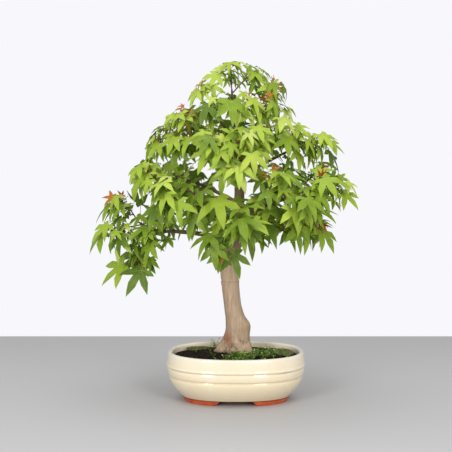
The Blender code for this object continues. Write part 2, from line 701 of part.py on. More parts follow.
def add_leaf(builder, leaf, grow=0.0, stalk_from=0.0, near=None):
    """A thin plate, a star of five lobes, on a flat stalk that may grow out of four corners."""
    share = grow / leaf.length
    half = (STALK_WIDTH / 2 + grow) / leaf.length
    outline = [(-half, 0.0)] + leaf_outline(share) + [(half, 0.0)]
    top = [leaf.point(u, v) + leaf.face * grow for u, v in outline]
    middle = leaf.point(0.0, BLADE_CENTRE) + leaf.face * grow
    down = leaf.face * -(LEAF_THICKNESS + 2 * grow)
    upper = [builder.verts.new(p) for p in top]
    lower = [builder.verts.new(p + down) for p in top]
    centre = (builder.verts.new(middle), builder.verts.new(middle + down))
    for i in range(len(top) - 1):
        builder.faces.new((centre[0], upper[i + 1], upper[i]))
        builder.faces.new((centre[1], lower[i], lower[i + 1]))
        builder.faces.new((upper[i], upper[i + 1], lower[i + 1], lower[i]))
    builder.faces.new((centre[0], upper[0], upper[-1]))
    builder.faces.new((centre[1], lower[-1], lower[0]))
    far = [upper[0], upper[-1], lower[-1], lower[0]]
    if stalk_from == 1.0:
        builder.faces.new((far[1], far[0], far[3], far[2]))
        return

    turn = leaf.along.rotation_difference(leaf.stalk())
    side = turn @ leaf.across * half * leaf.length
    rise = turn @ leaf.face * down.length / 2
    start = leaf.foot_point.lerp(leaf.base, stalk_from)
    square = [start + offset for offset in (rise - side, rise + side, side - rise, -side - rise)]
    if near is None:
        near = [builder.verts.new(point) for point in square]
        builder.faces.new(list(reversed(near)))
    else:
        near = min(([*near[k:], *near[:k]] for k in range(4)),
                   key=lambda turned: sum((v.co - p).length for v, p in zip(turned, square)))
    for i in range(4):
        j = (i + 1) % 4
        builder.faces.new((near[i], near[j], far[j], far[i]))


def leaf_trees(leaf):
    """The space of the blade, and of the outer stalk, with air around them."""
    blade_space = bmesh.new()
    add_leaf(blade_space, leaf, LEAF_SPACE, stalk_from=1.0)
    whole_space = bmesh.new()
    add_leaf(whole_space, leaf, LEAF_SPACE, stalk_from=0.15)
    return mesh_tree(blade_space), mesh_tree(whole_space)


def try_leaf(rng, foot_point, ahead, side, size):
    """One way that a leaf may hang from this face of its twig."""
    outward = Vector((foot_point.x + 0.01, foot_point.y, 0.0)).normalized()
    length = LEAF_LENGTH * size * rng.uniform(0.82, 1.16)
    stalk = (ahead * rng.uniform(0.3, 0.8) + side * rng.uniform(0.6, 1.0)
             + UP * rng.uniform(-0.5, 0.5) + outward * 0.3).normalized()
    base = foot_point + stalk * length * rng.uniform(0.38, 0.75)
    along = (outward * rng.uniform(0.1, 0.7) + stalk * rng.uniform(0.2, 0.7)
             - UP * rng.uniform(0.4, 1.1))
    facing_front = rng.uniform(0.1, 0.8) * (1.0 if foot_point.y < 0.03 else 0.0)
    face = (outward * 0.7 + FRONT * facing_front + UP * rng.uniform(0.3, 1.2)
            + side * rng.uniform(-0.2, 0.6))
    return Leaf(foot_point, base, along, face, length, rng.uniform(0.10, 0.34))


def pair_faces(twig, pair, rng):
    """The two opposite faces of a twig where a pair of leaves grows; pairs stand crosswise."""
    segment = 1 + 2 * (LEAF_PAIRS - 1 - pair)
    ring, after = twig.rings[segment], twig.rings[segment + 1]
    ahead = (after[0] - ring[0]).normalized()
    level = ahead.cross(UP).normalized()
    turn = math.radians(rng.uniform(-25, 25) + (75 if pair % 2 else 0))
    wanted = Matrix.Rotation(turn, 3, ahead) @ level
    faces = []
    for side in range(TWIG_SIDES):
        corners = twig.face_corners(segment, side)
        normal = (corners[1] - corners[0]).cross(corners[3] - corners[0]).normalized()
        faces.append((normal.dot(wanted), side, sum(corners, Vector()) / 4, normal))
    _, best, _, _ = max(faces)
    return [(segment, side, place, ahead, normal) for _, side, place, normal in faces
            if (side - best) % (TWIG_SIDES // 2) == 0]


def grow_crown():
    """All the twigs, with the leaves that find room on them."""
    rng = random.Random(LEAF_SEED)
    wood = wood_tree()
    twigs = [Twig(clear_of_wood(twig_route(limb, share, tip), wood), size)
             for limb, share, tip, size in TWIGS]
    spaces = [twig_space(twig.route, twig.leaf_size) for twig in twigs]
    taken = []
    for number, twig in enumerate(twigs):
        others = [wood] + [space for k, space in enumerate(spaces) if k != number]
        for pair in range(LEAF_PAIRS):
            for segment, side, place, ahead, normal in pair_faces(twig, pair, rng):
                for attempt in range(TRIES):
                    size = twig.leaf_size * (1 - 0.3 * attempt / TRIES)
                    leaf = try_leaf(rng, place, ahead, normal, size)
                    if leaf.along.dot(leaf.stalk()) < SHARPEST_BEND:
                        continue
                    tips = [leaf.point(u, v) for u, v in leaf_outline()]
                    if min(tip.z for tip in tips) < twig.route[-1].z - LEAF_DROP:
                        continue
                    if max(share_of_crown(tip) for tip in tips) > LEAF_SHARE:
                        continue
                    blade_tree, whole_tree = leaf_trees(leaf)
                    near = [tree for middle, reach, tree in taken
                            if (middle - leaf.base).length < reach + 2.2 * leaf.length]
                    if blade_tree.overlap(wood) or blade_tree.overlap(spaces[number]):
                        continue
                    if any(whole_tree.overlap(tree) for tree in others + near):
                        continue
                    twig.leaves[segment, side] = leaf
                    taken.append((leaf.base, 2.2 * leaf.length, whole_tree))
                    break
    return twigs


def leaf_spray(name, twig, leaf_green):
    builder = bmesh.new()
    twig.build(builder)
    return make_object(name, builder, leaf_green)


# ---------------------------------------------------------------- the whole

def centre_over_origin():
    """Shift everything so that the whole box is centred over the origin."""
    bpy.context.view_layer.update()
    depsgraph = bpy.context.evaluated_depsgraph_get()
    corners = []
    for item in bpy.context.scene.objects:
        if not item.hide_render:
            mesh = item.evaluated_get(depsgraph).to_mesh()
            corners += [vert.co.copy() for vert in mesh.vertices]
            item.evaluated_get(depsgraph).to_mesh_clear()
    low = [min(corner[axis] for corner in corners) for axis in range(2)]
    high = [max(corner[axis] for corner in corners) for axis in range(2)]
    shift = Matrix.Translation((-(low[0] + high[0]) / 2, -(low[1] + high[1]) / 2, 0))
    for item in bpy.context.scene.objects:
        item.data.transform(shift)


def main():
    clear_scene()
    glaze = material("cream_glaze", (0.86, 0.80, 0.62), 0.12)
    clay = material("bare_clay", (0.58, 0.17, 0.06), 0.75)
    plastic = material("screen_plastic", (0.05, 0.05, 0.05), 0.5)
    wire = material("clip_wire", (0.55, 0.40, 0.30), 0.35, 1.0)
    earth = material("soil", (0.05, 0.035, 0.022), 0.95)
    moss_green = material("moss", (0.17, 0.19, 0.05), 0.95)
    weed_green = material("weeds", (0.25, 0.45, 0.07), 0.6)
    bark = material("bark", (0.42, 0.31, 0.22), 0.85)
    leaf_green = material("leaves", (0.28, 0.48, 0.06), 0.5)

    pot(glaze)
    corners = (("front_left", -1, -1), ("front_right", 1, -1), ("back_left", -1, 1), ("back_right", 1, 1))
    for corner, mirror_x, mirror_y in corners:
        foot("foot_" + corner, mirror_x, mirror_y, clay)
    for side, place in zip(("left", "right"), drain_places()):
        drain_screen("drain_screen_" + side, place, plastic)
        screen_clip("screen_clip_" + side, place, wire)

    trunk_space = bmesh.new()
    loft(trunk_space, trunk_rings(GAP), split=True)
    soil(earth, make_object("trunk_space", trunk_space, bark))
    lifted_soil = as_tool(soil_solid("lifted_soil", earth, GAP))
    moss("moss_right", *beside_trunk(0.068, 0.004), 0.030, 0.044, 20, moss_green, lifted_soil)
    moss("moss_left", *beside_trunk(-0.052, 0.030), 0.044, 0.022, -12, moss_green, lifted_soil)
    round_leaf = (0.0011, 0.0012, 0.0056, 0.0014)
    tuft("weed_front", *beside_trunk(0.012, -0.046), 7, 0.013, round_leaf, 0.75, 3, weed_green, lifted_soil)
    tuft("weed_right", *beside_trunk(0.040, -0.022), 7, 0.014, round_leaf, 0.85, 5, weed_green, lifted_soil)
    grass = (0.0012, 0.0013, 0.0011, 0.0008)
    tuft("grass_left", *beside_trunk(-0.034, 0.020), 5, 0.020, grass, 1.25, 8, weed_green, lifted_soil)

    trunk(bark)
    for number, twig in enumerate(grow_crown(), start=1):
        leaf_spray("leaf_spray_%02d" % number, twig, leaf_green)
    centre_over_origin()


main()
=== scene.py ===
"""Looks of a Japanese maple bonsai in an oval glazed pot: leaves, bark, soil, moss and glaze.

Metres, +Z up, the tree's front faces -Y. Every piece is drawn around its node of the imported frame.
"""

import math
import random
from functools import partialmethod

import bmesh
import bpy
import numpy as np
from mathutils import Matrix, Vector, noise
from mathutils.bvhtree import BVHTree


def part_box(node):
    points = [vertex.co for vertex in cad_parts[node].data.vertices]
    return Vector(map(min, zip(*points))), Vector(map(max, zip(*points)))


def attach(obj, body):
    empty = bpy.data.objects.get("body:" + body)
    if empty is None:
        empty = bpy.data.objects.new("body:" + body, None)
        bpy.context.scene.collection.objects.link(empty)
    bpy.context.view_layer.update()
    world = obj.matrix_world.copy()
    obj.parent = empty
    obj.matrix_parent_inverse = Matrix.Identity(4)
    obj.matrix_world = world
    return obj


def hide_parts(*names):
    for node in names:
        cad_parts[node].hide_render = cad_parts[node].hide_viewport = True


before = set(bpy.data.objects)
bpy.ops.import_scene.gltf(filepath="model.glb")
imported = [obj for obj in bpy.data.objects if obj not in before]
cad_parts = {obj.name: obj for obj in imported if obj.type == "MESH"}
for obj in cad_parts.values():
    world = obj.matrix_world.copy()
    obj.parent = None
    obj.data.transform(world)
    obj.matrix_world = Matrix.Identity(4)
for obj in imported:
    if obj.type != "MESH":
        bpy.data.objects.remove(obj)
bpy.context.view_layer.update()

MM = 0.001
UP = Vector((0.0, 0.0, 1.0))
FRONT = Vector((0.0, -1.0, 0.0))
WELD = 2e-6                     # corners closer than this are one corner

POT_LOW, POT_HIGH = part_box("pot")
POT_MIDDLE = Vector(((POT_LOW.x + POT_HIGH.x) / 2, (POT_LOW.y + POT_HIGH.y) / 2, 0.0))
POT_HALF_X = (POT_HIGH.x - POT_LOW.x) / 2
POT_HALF_Y = (POT_HIGH.y - POT_LOW.y) / 2
RIM_TOP = POT_HIGH.z
POT_BASE = POT_LOW.z
SOIL_LOW, SOIL_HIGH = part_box("soil")

# The pot's section: insets from its widest oval, heights below the rim.
OVAL_POWER = 2.3
OVAL_SIDES = 128
BASE_INSET = 0.020
RIM_INSET = 0.0024
RIM_WIDTH = 0.0066
FLOOR_THICKNESS = 0.006
RIDGE_DROP = 0.019
UPPER_GROOVE_DROP = 0.0215
LOWER_GROOVE_DROP = 0.035
GROOVE_DEPTH = 0.0010
BAND_INSET = 0.0014
SHOULDER_INSET = 0.0036
DRAIN_SPACING = 0.090
DRAIN_RADIUS = 0.0082
BARE_RINGS = 10                 # rings inside the pot that the glaze doesn't reach
POT_WOBBLE = 0.00025
HAIRLINE_X = POT_MIDDLE.x + 0.069

# A leaf: each lobe's bearing from the middle lobe in degrees, and its length as a share.
LOBES = ((-98.0, 0.46), (-47.0, 0.86), (0.0, 1.00), (47.0, 0.86), (98.0, 0.46))
NOTCHES = ((-72.0, 0.23), (-24.0, 0.35), (24.0, 0.35), (72.0, 0.23))
LOBE_STATIONS = ((0.60, 0.142), (0.84, 0.066))   # along the lobe, and its half width there
LEAF_CENTRE = 0.14
LEAF_THICKNESS = 0.0003
CAD_LEAF_THICKNESS = 0.0008
CAD_SPOKES = 9                  # edges that meet in the middle of a CAD leaf's face
SHORTEST_SPOKE = 1.2 * MM
LONGEST_SPOKE = 8.0 * MM
TWIG_SIDES = 6
RING_REACH = 1.7 * MM           # corners of one knot of a twig are this close
LEAF_SIZE = 0.036
STALK_RADIUS = 0.00042
UV_WIDTH, UV_HEIGHT, UV_BELOW = 1.8, 1.5, 0.35   # the flat leaf's room on its map

# The crown's outline from the front, in millimetres: height above the soil, reach left, reach right.
OUTLINE = (
    (60, 185, 70), (120, 190, 90), (140, 197, 128), (164, 199, 160), (190, 195, 175), (221, 174, 178),
    (257, 142, 172), (286, 127, 150), (307, 111, 132), (326, 103, 104), (343, 90, 78), (364, 67, 70),
    (379, 54, 66), (396, 44, 60), (414, 26, 24), (424, 8, 6),
)
CROWN_DEEPNESS = 0.80           # its depth as a share of its width
TREE_FOOT = RIM_TOP - 0.001
EXTRA_LEAVES = 10               # places tried on each twig
LIMB_LEAVES = 260               # places tried on the limbs
FILL_TRIES = 18                 # ways tried to hang a leaf from one place
WIDEST_SHARE = 1.12             # how far leaves may reach, as a share of the outline
YOUNG_SHARE = 0.90              # twigs with red young leaves at their tips

# The trunk's marks: places above the soil, out from the pot's middle.
SCAR_HEIGHT = 0.102
SCAR_TILT = 0.10
TRUNK_REACH = 0.03
KNOB = Vector((POT_MIDDLE.x + 0.017, POT_MIDDLE.y - 0.006, SOIL_HIGH.z + 0.038))
STUB = Vector((POT_MIDDLE.x - 0.012, POT_MIDDLE.y - 0.010, SOIL_HIGH.z + 0.058))
ROOT_HEIGHT = 0.03

TABLE_HALF = 0.488
CAMERA_PLACE = POT_MIDDLE + Vector((-0.0143, -1.6, 0.39))
CAMERA_TILT = 4.95
LENS = 89.1
ROOM_LIGHT = 0.50


# ---------------------------------------------------------------- materials

def rgb(red, green, blue):
    """A colour as a painter reads it, 0 to 255, turned to light values."""
    return tuple((c / 255 / 12.92) if c / 255 <= 0.04045 else ((c / 255 + 0.055) / 1.055) ** 2.4
                 for c in (red, green, blue)) + (1.0,)


class Value:
    """A shader socket that joins in sums with other sockets and with numbers."""

    def __init__(self, recipe, socket):
        self.recipe = recipe
        self.socket = socket

    def math(self, operation, *others):
        sockets = dict(enumerate((self, *others)))
        return self.recipe.node("Math", {"operation": operation}, sockets)

    __add__ = __radd__ = partialmethod(math, 'ADD')
    __mul__ = __rmul__ = partialmethod(math, 'MULTIPLY')
    __sub__ = partialmethod(math, 'SUBTRACT')
    __truediv__ = partialmethod(math, 'DIVIDE')
    __abs__ = partialmethod(math, 'ABSOLUTE')
    largest = partialmethod(math, 'MAXIMUM')

    def __rsub__(self, other):
        return self.recipe.node("Math", {"operation": 'SUBTRACT'}, {0: other, 1: self})

    def between(self, low, high):
        """0 below low, 1 above high, smooth between; high may be the lower one."""
        return self.recipe.node("MapRange", {"interpolation_type": 'SMOOTHSTEP'},
                                {"Value": self, "From Min": low, "From Max": high})

    def near(self, place, width):
        """1 at a place, falling to 0 a width away on both sides."""
        return (abs(self - place)).between(width, 0.0)


class Recipe:
    """One material's nodes, from its coordinates to its output."""

    def __init__(self, name):
        self.material = bpy.data.materials.new(name)
        self.material.use_nodes = True
        self.tree = self.material.node_tree
        self.tree.nodes.clear()
        self.place = self.node("TexCoord", out="Object")
        self.x, self.y, self.z = self.parts(self.place)

    def node(self, kind, settings=None, sockets=None, out=0):
        made = self.tree.nodes.new("ShaderNode" + kind)
        for key, setting in (settings or {}).items():
            setattr(made, key, setting)
        for key, given in (sockets or {}).items():
            if isinstance(given, Value):
                self.tree.links.new(given.socket, made.inputs[key])
            else:
                made.inputs[key].default_value = given
        return Value(self, made.outputs[out]) if made.outputs else made

    def parts(self, vector):
        split = self.node("SeparateXYZ", sockets={0: vector})
        outputs = split.socket.node.outputs
        return [Value(self, outputs[axis]) for axis in range(3)]

    def stretched(self, scale):
        return self.node("Mapping", sockets={"Vector": self.place, "Scale": scale})

    def length(self, vector):
        return self.node("VectorMath", {"operation": 'LENGTH'}, {0: vector}, out="Value")

    def noise(self, scale, detail=3.0, roughness=0.5, place=None, distortion=0.0):
        return self.node("TexNoise", sockets={"Vector": place or self.place, "Scale": scale, "Detail": detail,
                                              "Roughness": roughness, "Distortion": distortion})

    def cells(self, scale, out="Distance"):
        return self.node("TexVoronoi", sockets={"Vector": self.place, "Scale": scale}, out=out)

    def ramp(self, factor, *stops):
        """Colours along a factor; each stop is a position, red, green and blue."""
        made = self.node("ValToRGB", sockets={"Fac": factor})
        elements = made.socket.node.color_ramp.elements
        while len(elements) < len(stops):
            elements.new(1.0)
        for element, (position, *tone) in zip(elements, stops):
            element.position = position
            element.color = rgb(*tone)
        return made

    def mix(self, factor, first, second):
        return self.node("Mix", {"data_type": 'RGBA'}, {0: factor, 6: first, 7: second}, out=2)

    def layers(self, colour, *coats):
        """Coats over a colour, one after another; each is a share, red, green and blue."""
        for share, *tone in coats:
            colour = self.mix(share, colour, rgb(*tone))
        return colour

    def bump(self, height, strength, distance, under=None):
        sockets = {"Height": height, "Strength": strength, "Distance": distance}
        if under:
            sockets["Normal"] = under
        return self.node("Bump", sockets=sockets)

    def attribute(self, name):
        return self.node("Attribute", {"attribute_name": name}, out="Fac")

    def principled(self, **given):
        named = {key.replace("_", " "): value for key, value in given.items()}
        return self.node("BsdfPrincipled", sockets=named)

    def finish(self, shader):
        self.node("OutputMaterial", sockets={"Surface": shader})
        return self.material

    def surface(self, **given):
        return self.finish(self.principled(**given))

    def thin_leaf(self, colour, gloss, through, share, **relief):
        """Light both shines off a leaf and comes through it."""
        skin = self.principled(Base_Color=colour, Roughness=gloss, Specular_IOR_Level=0.35, **relief)
        glow = self.node("BsdfTranslucent", sockets={"Color": through})
        return self.finish(self.node("MixShader", sockets={0: share, 1: skin, 2: glow}))


def cream_glaze():
    mix = Recipe("cream_glaze_fine")
    cloud = mix.noise(22.0, 4.0, 0.6)
    fine = mix.noise(160.0, 3.0)
    # paler towards the rim and darker low on the belly: painted light and shade by height
    glaze = mix.ramp(mix.z, (0.008, 232, 215, 184), (0.036, 236, 221, 190), (0.066, 238, 226, 200),
                     (0.0715, 240, 233, 220))
    # painted highlight along the raised ridge; the glaze pools in the grooves
    ridge = mix.z.near(RIM_TOP - RIDGE_DROP, 0.0016)
    pools = mix.z.near(RIM_TOP - LOWER_GROOVE_DROP, 0.0013).largest(
        mix.z.near(RIM_TOP - UPPER_GROOVE_DROP, 0.0009))
    foot_line = mix.z.between(POT_BASE + 0.0022, POT_BASE + 0.0002)
    # a fired hairline in the upper groove, at the front on the right
    front = mix.y.between(POT_MIDDLE.y - 0.02, POT_MIDDLE.y - 0.04)
    reach = mix.x.near(HAIRLINE_X, 0.019)
    wobble = (mix.noise(90.0, 2.0) - 0.5) * 0.0012
    slope = (mix.x - HAIRLINE_X) * 0.045
    hairline = (mix.z - slope + wobble).near(RIM_TOP - UPPER_GROOVE_DROP - 0.0004, 0.00042) * front * reach
    specks = mix.cells(210.0).between(0.16, 0.07) * mix.noise(60.0, 1.0).between(0.66, 0.70)
    glaze = mix.layers(glaze, (cloud.between(0.35, 0.75) * 0.35, 228, 210, 172),
                       (fine.between(0.55, 0.8) * 0.15, 250, 244, 228), (ridge * 0.25, 255, 252, 240),
                       (pools * 0.5, 206, 192, 150), (foot_line * 0.6, 196, 164, 116),
                       (hairline * 0.95, 92, 88, 84), (specks * 0.8, 110, 90, 60))
    # bare, unglazed clay under the pot and deep inside it
    bare = mix.attribute("bare").between(0.4, 0.6)
    clay = mix.ramp(mix.noise(120.0, 5.0), (0.3, 150, 92, 62), (0.7, 176, 114, 78))
    dents = mix.bump(mix.noise(46.0, 2.0), 0.25, 0.0006)
    dents = mix.bump(fine, 0.10, 0.0001, dents)
    return mix.surface(Base_Color=mix.mix(bare, glaze, clay), Roughness=bare * 0.7 + 0.10 + cloud * 0.05,
                       Normal=dents, Specular_IOR_Level=0.5, Coat_Roughness=0.03,
                       Coat_Weight=(1.0 - bare) * 0.6)


def bare_clay():
    mix = Recipe("bare_clay_fine")
    grain = mix.noise(420.0, 4.0, 0.7)
    colour = mix.ramp(mix.noise(60.0, 3.0), (0.3, 176, 72, 34), (0.5, 205, 92, 44), (0.7, 222, 118, 66))
    # darker at the top of each foot, under the pot: painted shade
    edge = mix.z.between(POT_BASE - 0.0030, POT_BASE - 0.0002)
    dust = mix.z.between(0.0016, 0.0)
    colour = mix.layers(colour, (edge * 0.75, 112, 32, 18), (dust * 0.5, 150, 92, 66))
    return mix.surface(Base_Color=colour, Roughness=grain * 0.2 + 0.7, Normal=mix.bump(grain, 0.5, 0.0003))


def screen_plastic():
    mix = Recipe("screen_plastic_fine")
    scuffs = mix.noise(700.0, 3.0)
    colour = mix.ramp(scuffs, (0.3, 30, 31, 30), (0.7, 52, 52, 50))
    return mix.surface(Base_Color=colour, Roughness=scuffs * 0.3 + 0.35, Normal=mix.bump(scuffs, 0.3, 0.0001))


def clip_wire():
    mix = Recipe("clip_wire_fine")
    drawn = mix.noise(900.0, 2.0, place=mix.stretched((0.1, 1.0, 1.0)))
    colour = mix.ramp(drawn, (0.3, 150, 108, 76), (0.7, 196, 150, 112))
    return mix.surface(Base_Color=colour, Metallic=1.0, Roughness=drawn * 0.25 + 0.25)


def damp_soil():
    mix = Recipe("damp_soil")
    crumbs = mix.cells(330.0)
    cloud = mix.noise(48.0, 4.0)
    pale, _, _ = mix.parts(mix.cells(520.0, out="Color"))
    moss_film = mix.noise(30.0, 3.0).between(0.52, 0.62) * mix.x.between(POT_MIDDLE.x, POT_MIDDLE.x + 0.05)
    colour = mix.ramp(crumbs, (0.0, 44, 30, 19), (0.4, 27, 18, 11), (0.8, 9, 6, 4))
    colour = mix.layers(colour, (cloud.between(0.45, 0.7) * 0.5, 52, 36, 21),
                        (pale.between(0.94, 0.98) * 0.4, 120, 98, 72), (moss_film * 0.55, 58, 66, 22))
    lumps = mix.bump(crumbs, 0.8, 0.0008)
    lumps = mix.bump(mix.noise(900.0, 3.0), 0.4, 0.0003, lumps)
    return mix.surface(Base_Color=colour, Roughness=cloud * 0.3 + 0.65, Normal=lumps, Specular_IOR_Level=0.15)


def moss_green():
    mix = Recipe("moss_green")
    cloud = mix.noise(140.0, 4.0, 0.65)
    colour = mix.ramp(cloud, (0.28, 44, 48, 14), (0.5, 86, 92, 30), (0.72, 132, 134, 52))
    colour = mix.layers(colour, (mix.attribute("tint") * 0.6, 140, 150, 52))
    return mix.surface(Base_Color=colour, Roughness=0.85, Sheen_Weight=0.3,
                       Normal=mix.bump(mix.noise(1200.0, 3.0), 0.6, 0.0004))


def seedling_green():
    mix = Recipe("seedling_green")
    shade = mix.attribute("tint") + (mix.noise(300.0, 2.0) - 0.5) * 0.4
    colour = mix.ramp(shade, (0.0, 84, 124, 36), (0.5, 140, 182, 64), (1.0, 216, 224, 156))
    return mix.thin_leaf(colour, 0.5, rgb(170, 205, 70), 0.25)


def maple_leaf():
    """Green that differs from leaf to leaf and is paler on leaves that hang higher and face up more, as
    painted light; pale ribs down each lobe, red young leaves.
    """
    mix = Recipe("maple_leaf")
    across, along, _ = mix.parts(mix.node("UVMap", {"uv_map": "leaf"}))
    across = (across - 0.5) * UV_WIDTH
    along = along * UV_HEIGHT - UV_BELOW
    ribs = None
    for bearing, reach in LOBES:
        sine, cosine = math.sin(math.radians(bearing)), math.cos(math.radians(bearing))
        out = across * sine + along * cosine
        off = abs(across * cosine - along * sine)
        width = 0.020 - out * 0.015 / reach
        rib = (1.0 - off / width).between(0.0, 0.8) * out.between(0.0, 0.03)
        ribs = rib if ribs is None else ribs.largest(rib)
    tint = mix.attribute("tint")
    shade = tint + (mix.noise(70.0, 3.0) - 0.5) * 0.35
    green = mix.ramp(shade, (0.0, 96, 120, 20), (0.22, 146, 172, 38), (0.55, 188, 208, 66),
                     (0.80, 212, 224, 98), (1.0, 224, 232, 130))
    green = mix.layers(green, (mix.attribute("under") * 0.45, 150, 184, 104))
    red = mix.ramp(mix.noise(240.0, 2.0) * 0.5 + tint * 0.5, (0.2, 168, 52, 28), (0.5, 212, 100, 46),
                   (0.8, 222, 160, 66))
    edge = mix.length(mix.node("CombineXYZ", sockets={0: across, 1: along}))
    blade = mix.layers(mix.mix(mix.attribute("young"), green, red),
                       (edge.between(0.55, 1.0) * 0.25, 150, 178, 62), (ribs * 0.34, 184, 208, 112))
    through = mix.layers(blade, (0.45, 176, 222, 48))
    relief = mix.bump(ribs * -1.0 + mix.noise(420.0, 2.0) * 0.4, 0.35, 0.0004)
    return mix.thin_leaf(blade, mix.noise(90.0, 2.0) * 0.2 + 0.38, through, 0.38, Normal=relief)


def young_wood():
    """Twigs: grey brown by the limb, reddish at their ends."""
    mix = Recipe("young_wood")
    grain = mix.noise(260.0, 3.0)
    colour = mix.ramp(grain, (0.3, 74, 56, 42), (0.7, 124, 98, 76))
    colour = mix.layers(colour, (mix.length(mix.place).between(0.28, 0.40) * 0.5, 142, 74, 50))
    return mix.surface(Base_Color=colour, Roughness=0.6, Normal=mix.bump(grain, 0.4, 0.0002))


def leaf_stalk():
    mix = Recipe("leaf_stalk")
    colour = mix.ramp(mix.noise(80.0, 2.0), (0.35, 150, 84, 52), (0.5, 146, 140, 62), (0.65, 136, 164, 70))
    return mix.surface(Base_Color=colour, Roughness=0.45)


def maple_bark():
    mix = Recipe("maple_bark")
    soil_top = SOIL_HIGH.z
    streaks = mix.noise(1.0, 5.0, 0.6, place=mix.stretched((420.0, 420.0, 38.0)), distortion=0.6)
    fine = mix.noise(1.0, 3.0, 0.6, place=mix.stretched((1300.0, 1300.0, 160.0)))
    rings = mix.noise(1.0, 3.0, 0.5, place=mix.stretched((26.0, 26.0, 260.0)))
    colour = mix.ramp(streaks, (0.26, 150, 126, 102), (0.44, 168, 144, 118), (0.60, 182, 158, 132),
                      (0.78, 200, 178, 152))
    # darker above the scar; the limbs and the wood high in the crown darker still, as painted shade under the
    # leaves
    upper = mix.z.between(soil_top + 0.112, soil_top + 0.150)
    out_x = mix.x - POT_MIDDLE.x
    out_y = mix.y - POT_MIDDLE.y
    limb = (out_x * out_x + out_y * out_y).math('SQRT').between(0.022, 0.045) * mix.z.between(
        soil_top + 0.10, soil_top + 0.14)
    high = mix.z.between(soil_top + 0.19, soil_top + 0.27)
    scar = (mix.z + (mix.noise(60.0, 2.0) - 0.5) * 0.004 + out_x * 0.03).near(soil_top + SCAR_HEIGHT, 0.0010)
    # rust on the left root, dark blotches and lichen by the soil
    rust = mix.z.near(soil_top + 0.018, 0.020) * out_x.near(-0.012, 0.011)
    rust = rust * mix.noise(95.0, 3.0).between(0.36, 0.50)
    blotch = mix.noise(120.0, 4.0, 0.7).between(0.50, 0.60)
    blotch = blotch * mix.z.between(soil_top + 0.034, soil_top + 0.006)
    # darker in a thin band where the trunk meets the soil
    darker_at_soil_line = mix.z.between(soil_top + 0.006, soil_top - 0.002)
    colour = mix.layers(colour, (fine.between(0.55, 0.8) * 0.22, 132, 100, 74),
                        (mix.noise(24.0, 4.0, 0.6).between(0.50, 0.68) * 0.45, 152, 122, 88),
                        (rings.between(0.60, 0.72) * 0.25, 126, 96, 72), (upper * 0.50, 134, 100, 64),
                        (limb.largest(high) * 0.75, 86, 66, 50), (scar * 0.45, 110, 80, 56),
                        (rust * 0.8, 150, 84, 40), (blotch * 0.7, 84, 60, 44), (darker_at_soil_line * 0.6, 58, 44, 34))
    relief = mix.bump(streaks, 0.35, 0.0006)
    relief = mix.bump(fine, 0.25, 0.0002, relief)
    return mix.surface(Base_Color=colour, Roughness=streaks * 0.15 + 0.68, Normal=relief)


def floor_paint():
    mix = Recipe("floor_paint")
    colour = mix.mix(mix.noise(3.0, 3.0) * 0.3, rgb(186, 185, 186), rgb(178, 177, 178))
    return mix.surface(Base_Color=colour, Roughness=0.55)


# ---------------------------------------------------------------- modelling by hand

def only(piece):
    """Make a piece the only one selected, and the active one."""
    bpy.ops.object.select_all(action='DESELECT')
    piece.select_set(True)
    bpy.context.view_layer.objects.active = piece
    return piece


def edit(piece, select='DESELECT'):
    only(piece)
    bpy.ops.object.mode_set(mode='EDIT')
    bpy.ops.mesh.select_all(action=select)


def leave_edit():
    bpy.ops.object.mode_set(mode='OBJECT')


def modify(piece, kind, **settings):
    modifier = only(piece).modifiers.new(kind.title(), kind)
    for key, setting in settings.items():
        setattr(modifier, key, setting)
    bpy.ops.object.modifier_apply(modifier=modifier.name)


def placed(name, data):
    """A new object in the scene."""
    thing = bpy.data.objects.new(name, data)
    bpy.context.scene.collection.objects.link(thing)
    return thing


def merged_copy(node, name):
    """A welded copy of a CAD node, as the start of a finer piece."""
    piece = placed(name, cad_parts[node].data.copy())
    piece.data.materials.clear()
    edit(piece, 'SELECT')
    bpy.ops.mesh.remove_doubles(threshold=WELD)
    bpy.ops.mesh.customdata_custom_splitnormals_clear()
    leave_edit()
    return piece


def mesh_piece(name, points, faces):
    mesh = bpy.data.meshes.new(name)
    mesh.from_pydata([tuple(point) for point in points], [], faces)
    return placed(name, mesh)


def joined(name, pieces):
    only(pieces[0])
    for piece in pieces[1:]:
        piece.select_set(True)
    bpy.ops.object.join()
    pieces[0].name = name
    return pieces[0]


def dress(piece, finish, degrees=60.0):
    """One material, shaded smooth up to an angle."""
    piece.data.materials.append(finish)
    only(piece)
    bpy.ops.object.shade_smooth_by_angle(angle=math.radians(degrees))
    return piece


def soften_edges(piece, flat, width, segments, sharp):
    """Join faces that are flat to some degrees, then round the edges sharper than that."""
    edit(piece, 'SELECT')
    bpy.ops.mesh.dissolve_limited(angle_limit=math.radians(flat))
    leave_edit()
    modify(piece, 'BEVEL', width=width, segments=segments, limit_method='ANGLE',
           angle_limit=math.radians(sharp))


def hand_in(piece, slot, *nodes):
    """The piece stands for its nodes and moves with the one body; the slot is not used."""
    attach(piece, "root")
    if nodes:
        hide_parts(*nodes)
    return piece


def strands(name, routes, finish, sides=1):
    """Round strands along routes of (point, radius), as closed tubes."""
    curve = bpy.data.curves.new(name, 'CURVE')
    curve.dimensions = '3D'
    curve.bevel_depth = 1.0
    curve.bevel_resolution = sides
    curve.use_fill_caps = True
    for route in routes:
        spline = curve.splines.new('POLY')
        spline.points.add(len(route) - 1)
        for knot, (point, radius) in zip(spline.points, route):
            knot.co = (*point, 1.0)
            knot.radius = radius
    piece = only(placed(name, curve))
    bpy.ops.object.convert(target='MESH')
    piece.data.materials.clear()
    return dress(piece, finish)


def push(piece, reach):
    """Move each corner along its normal by reach(corner)."""
    mesh = piece.data
    normals = [vert.normal.copy() for vert in mesh.vertices]
    for vert, normal in zip(mesh.vertices, normals):
        vert.co += normal * reach(vert.co, normal)


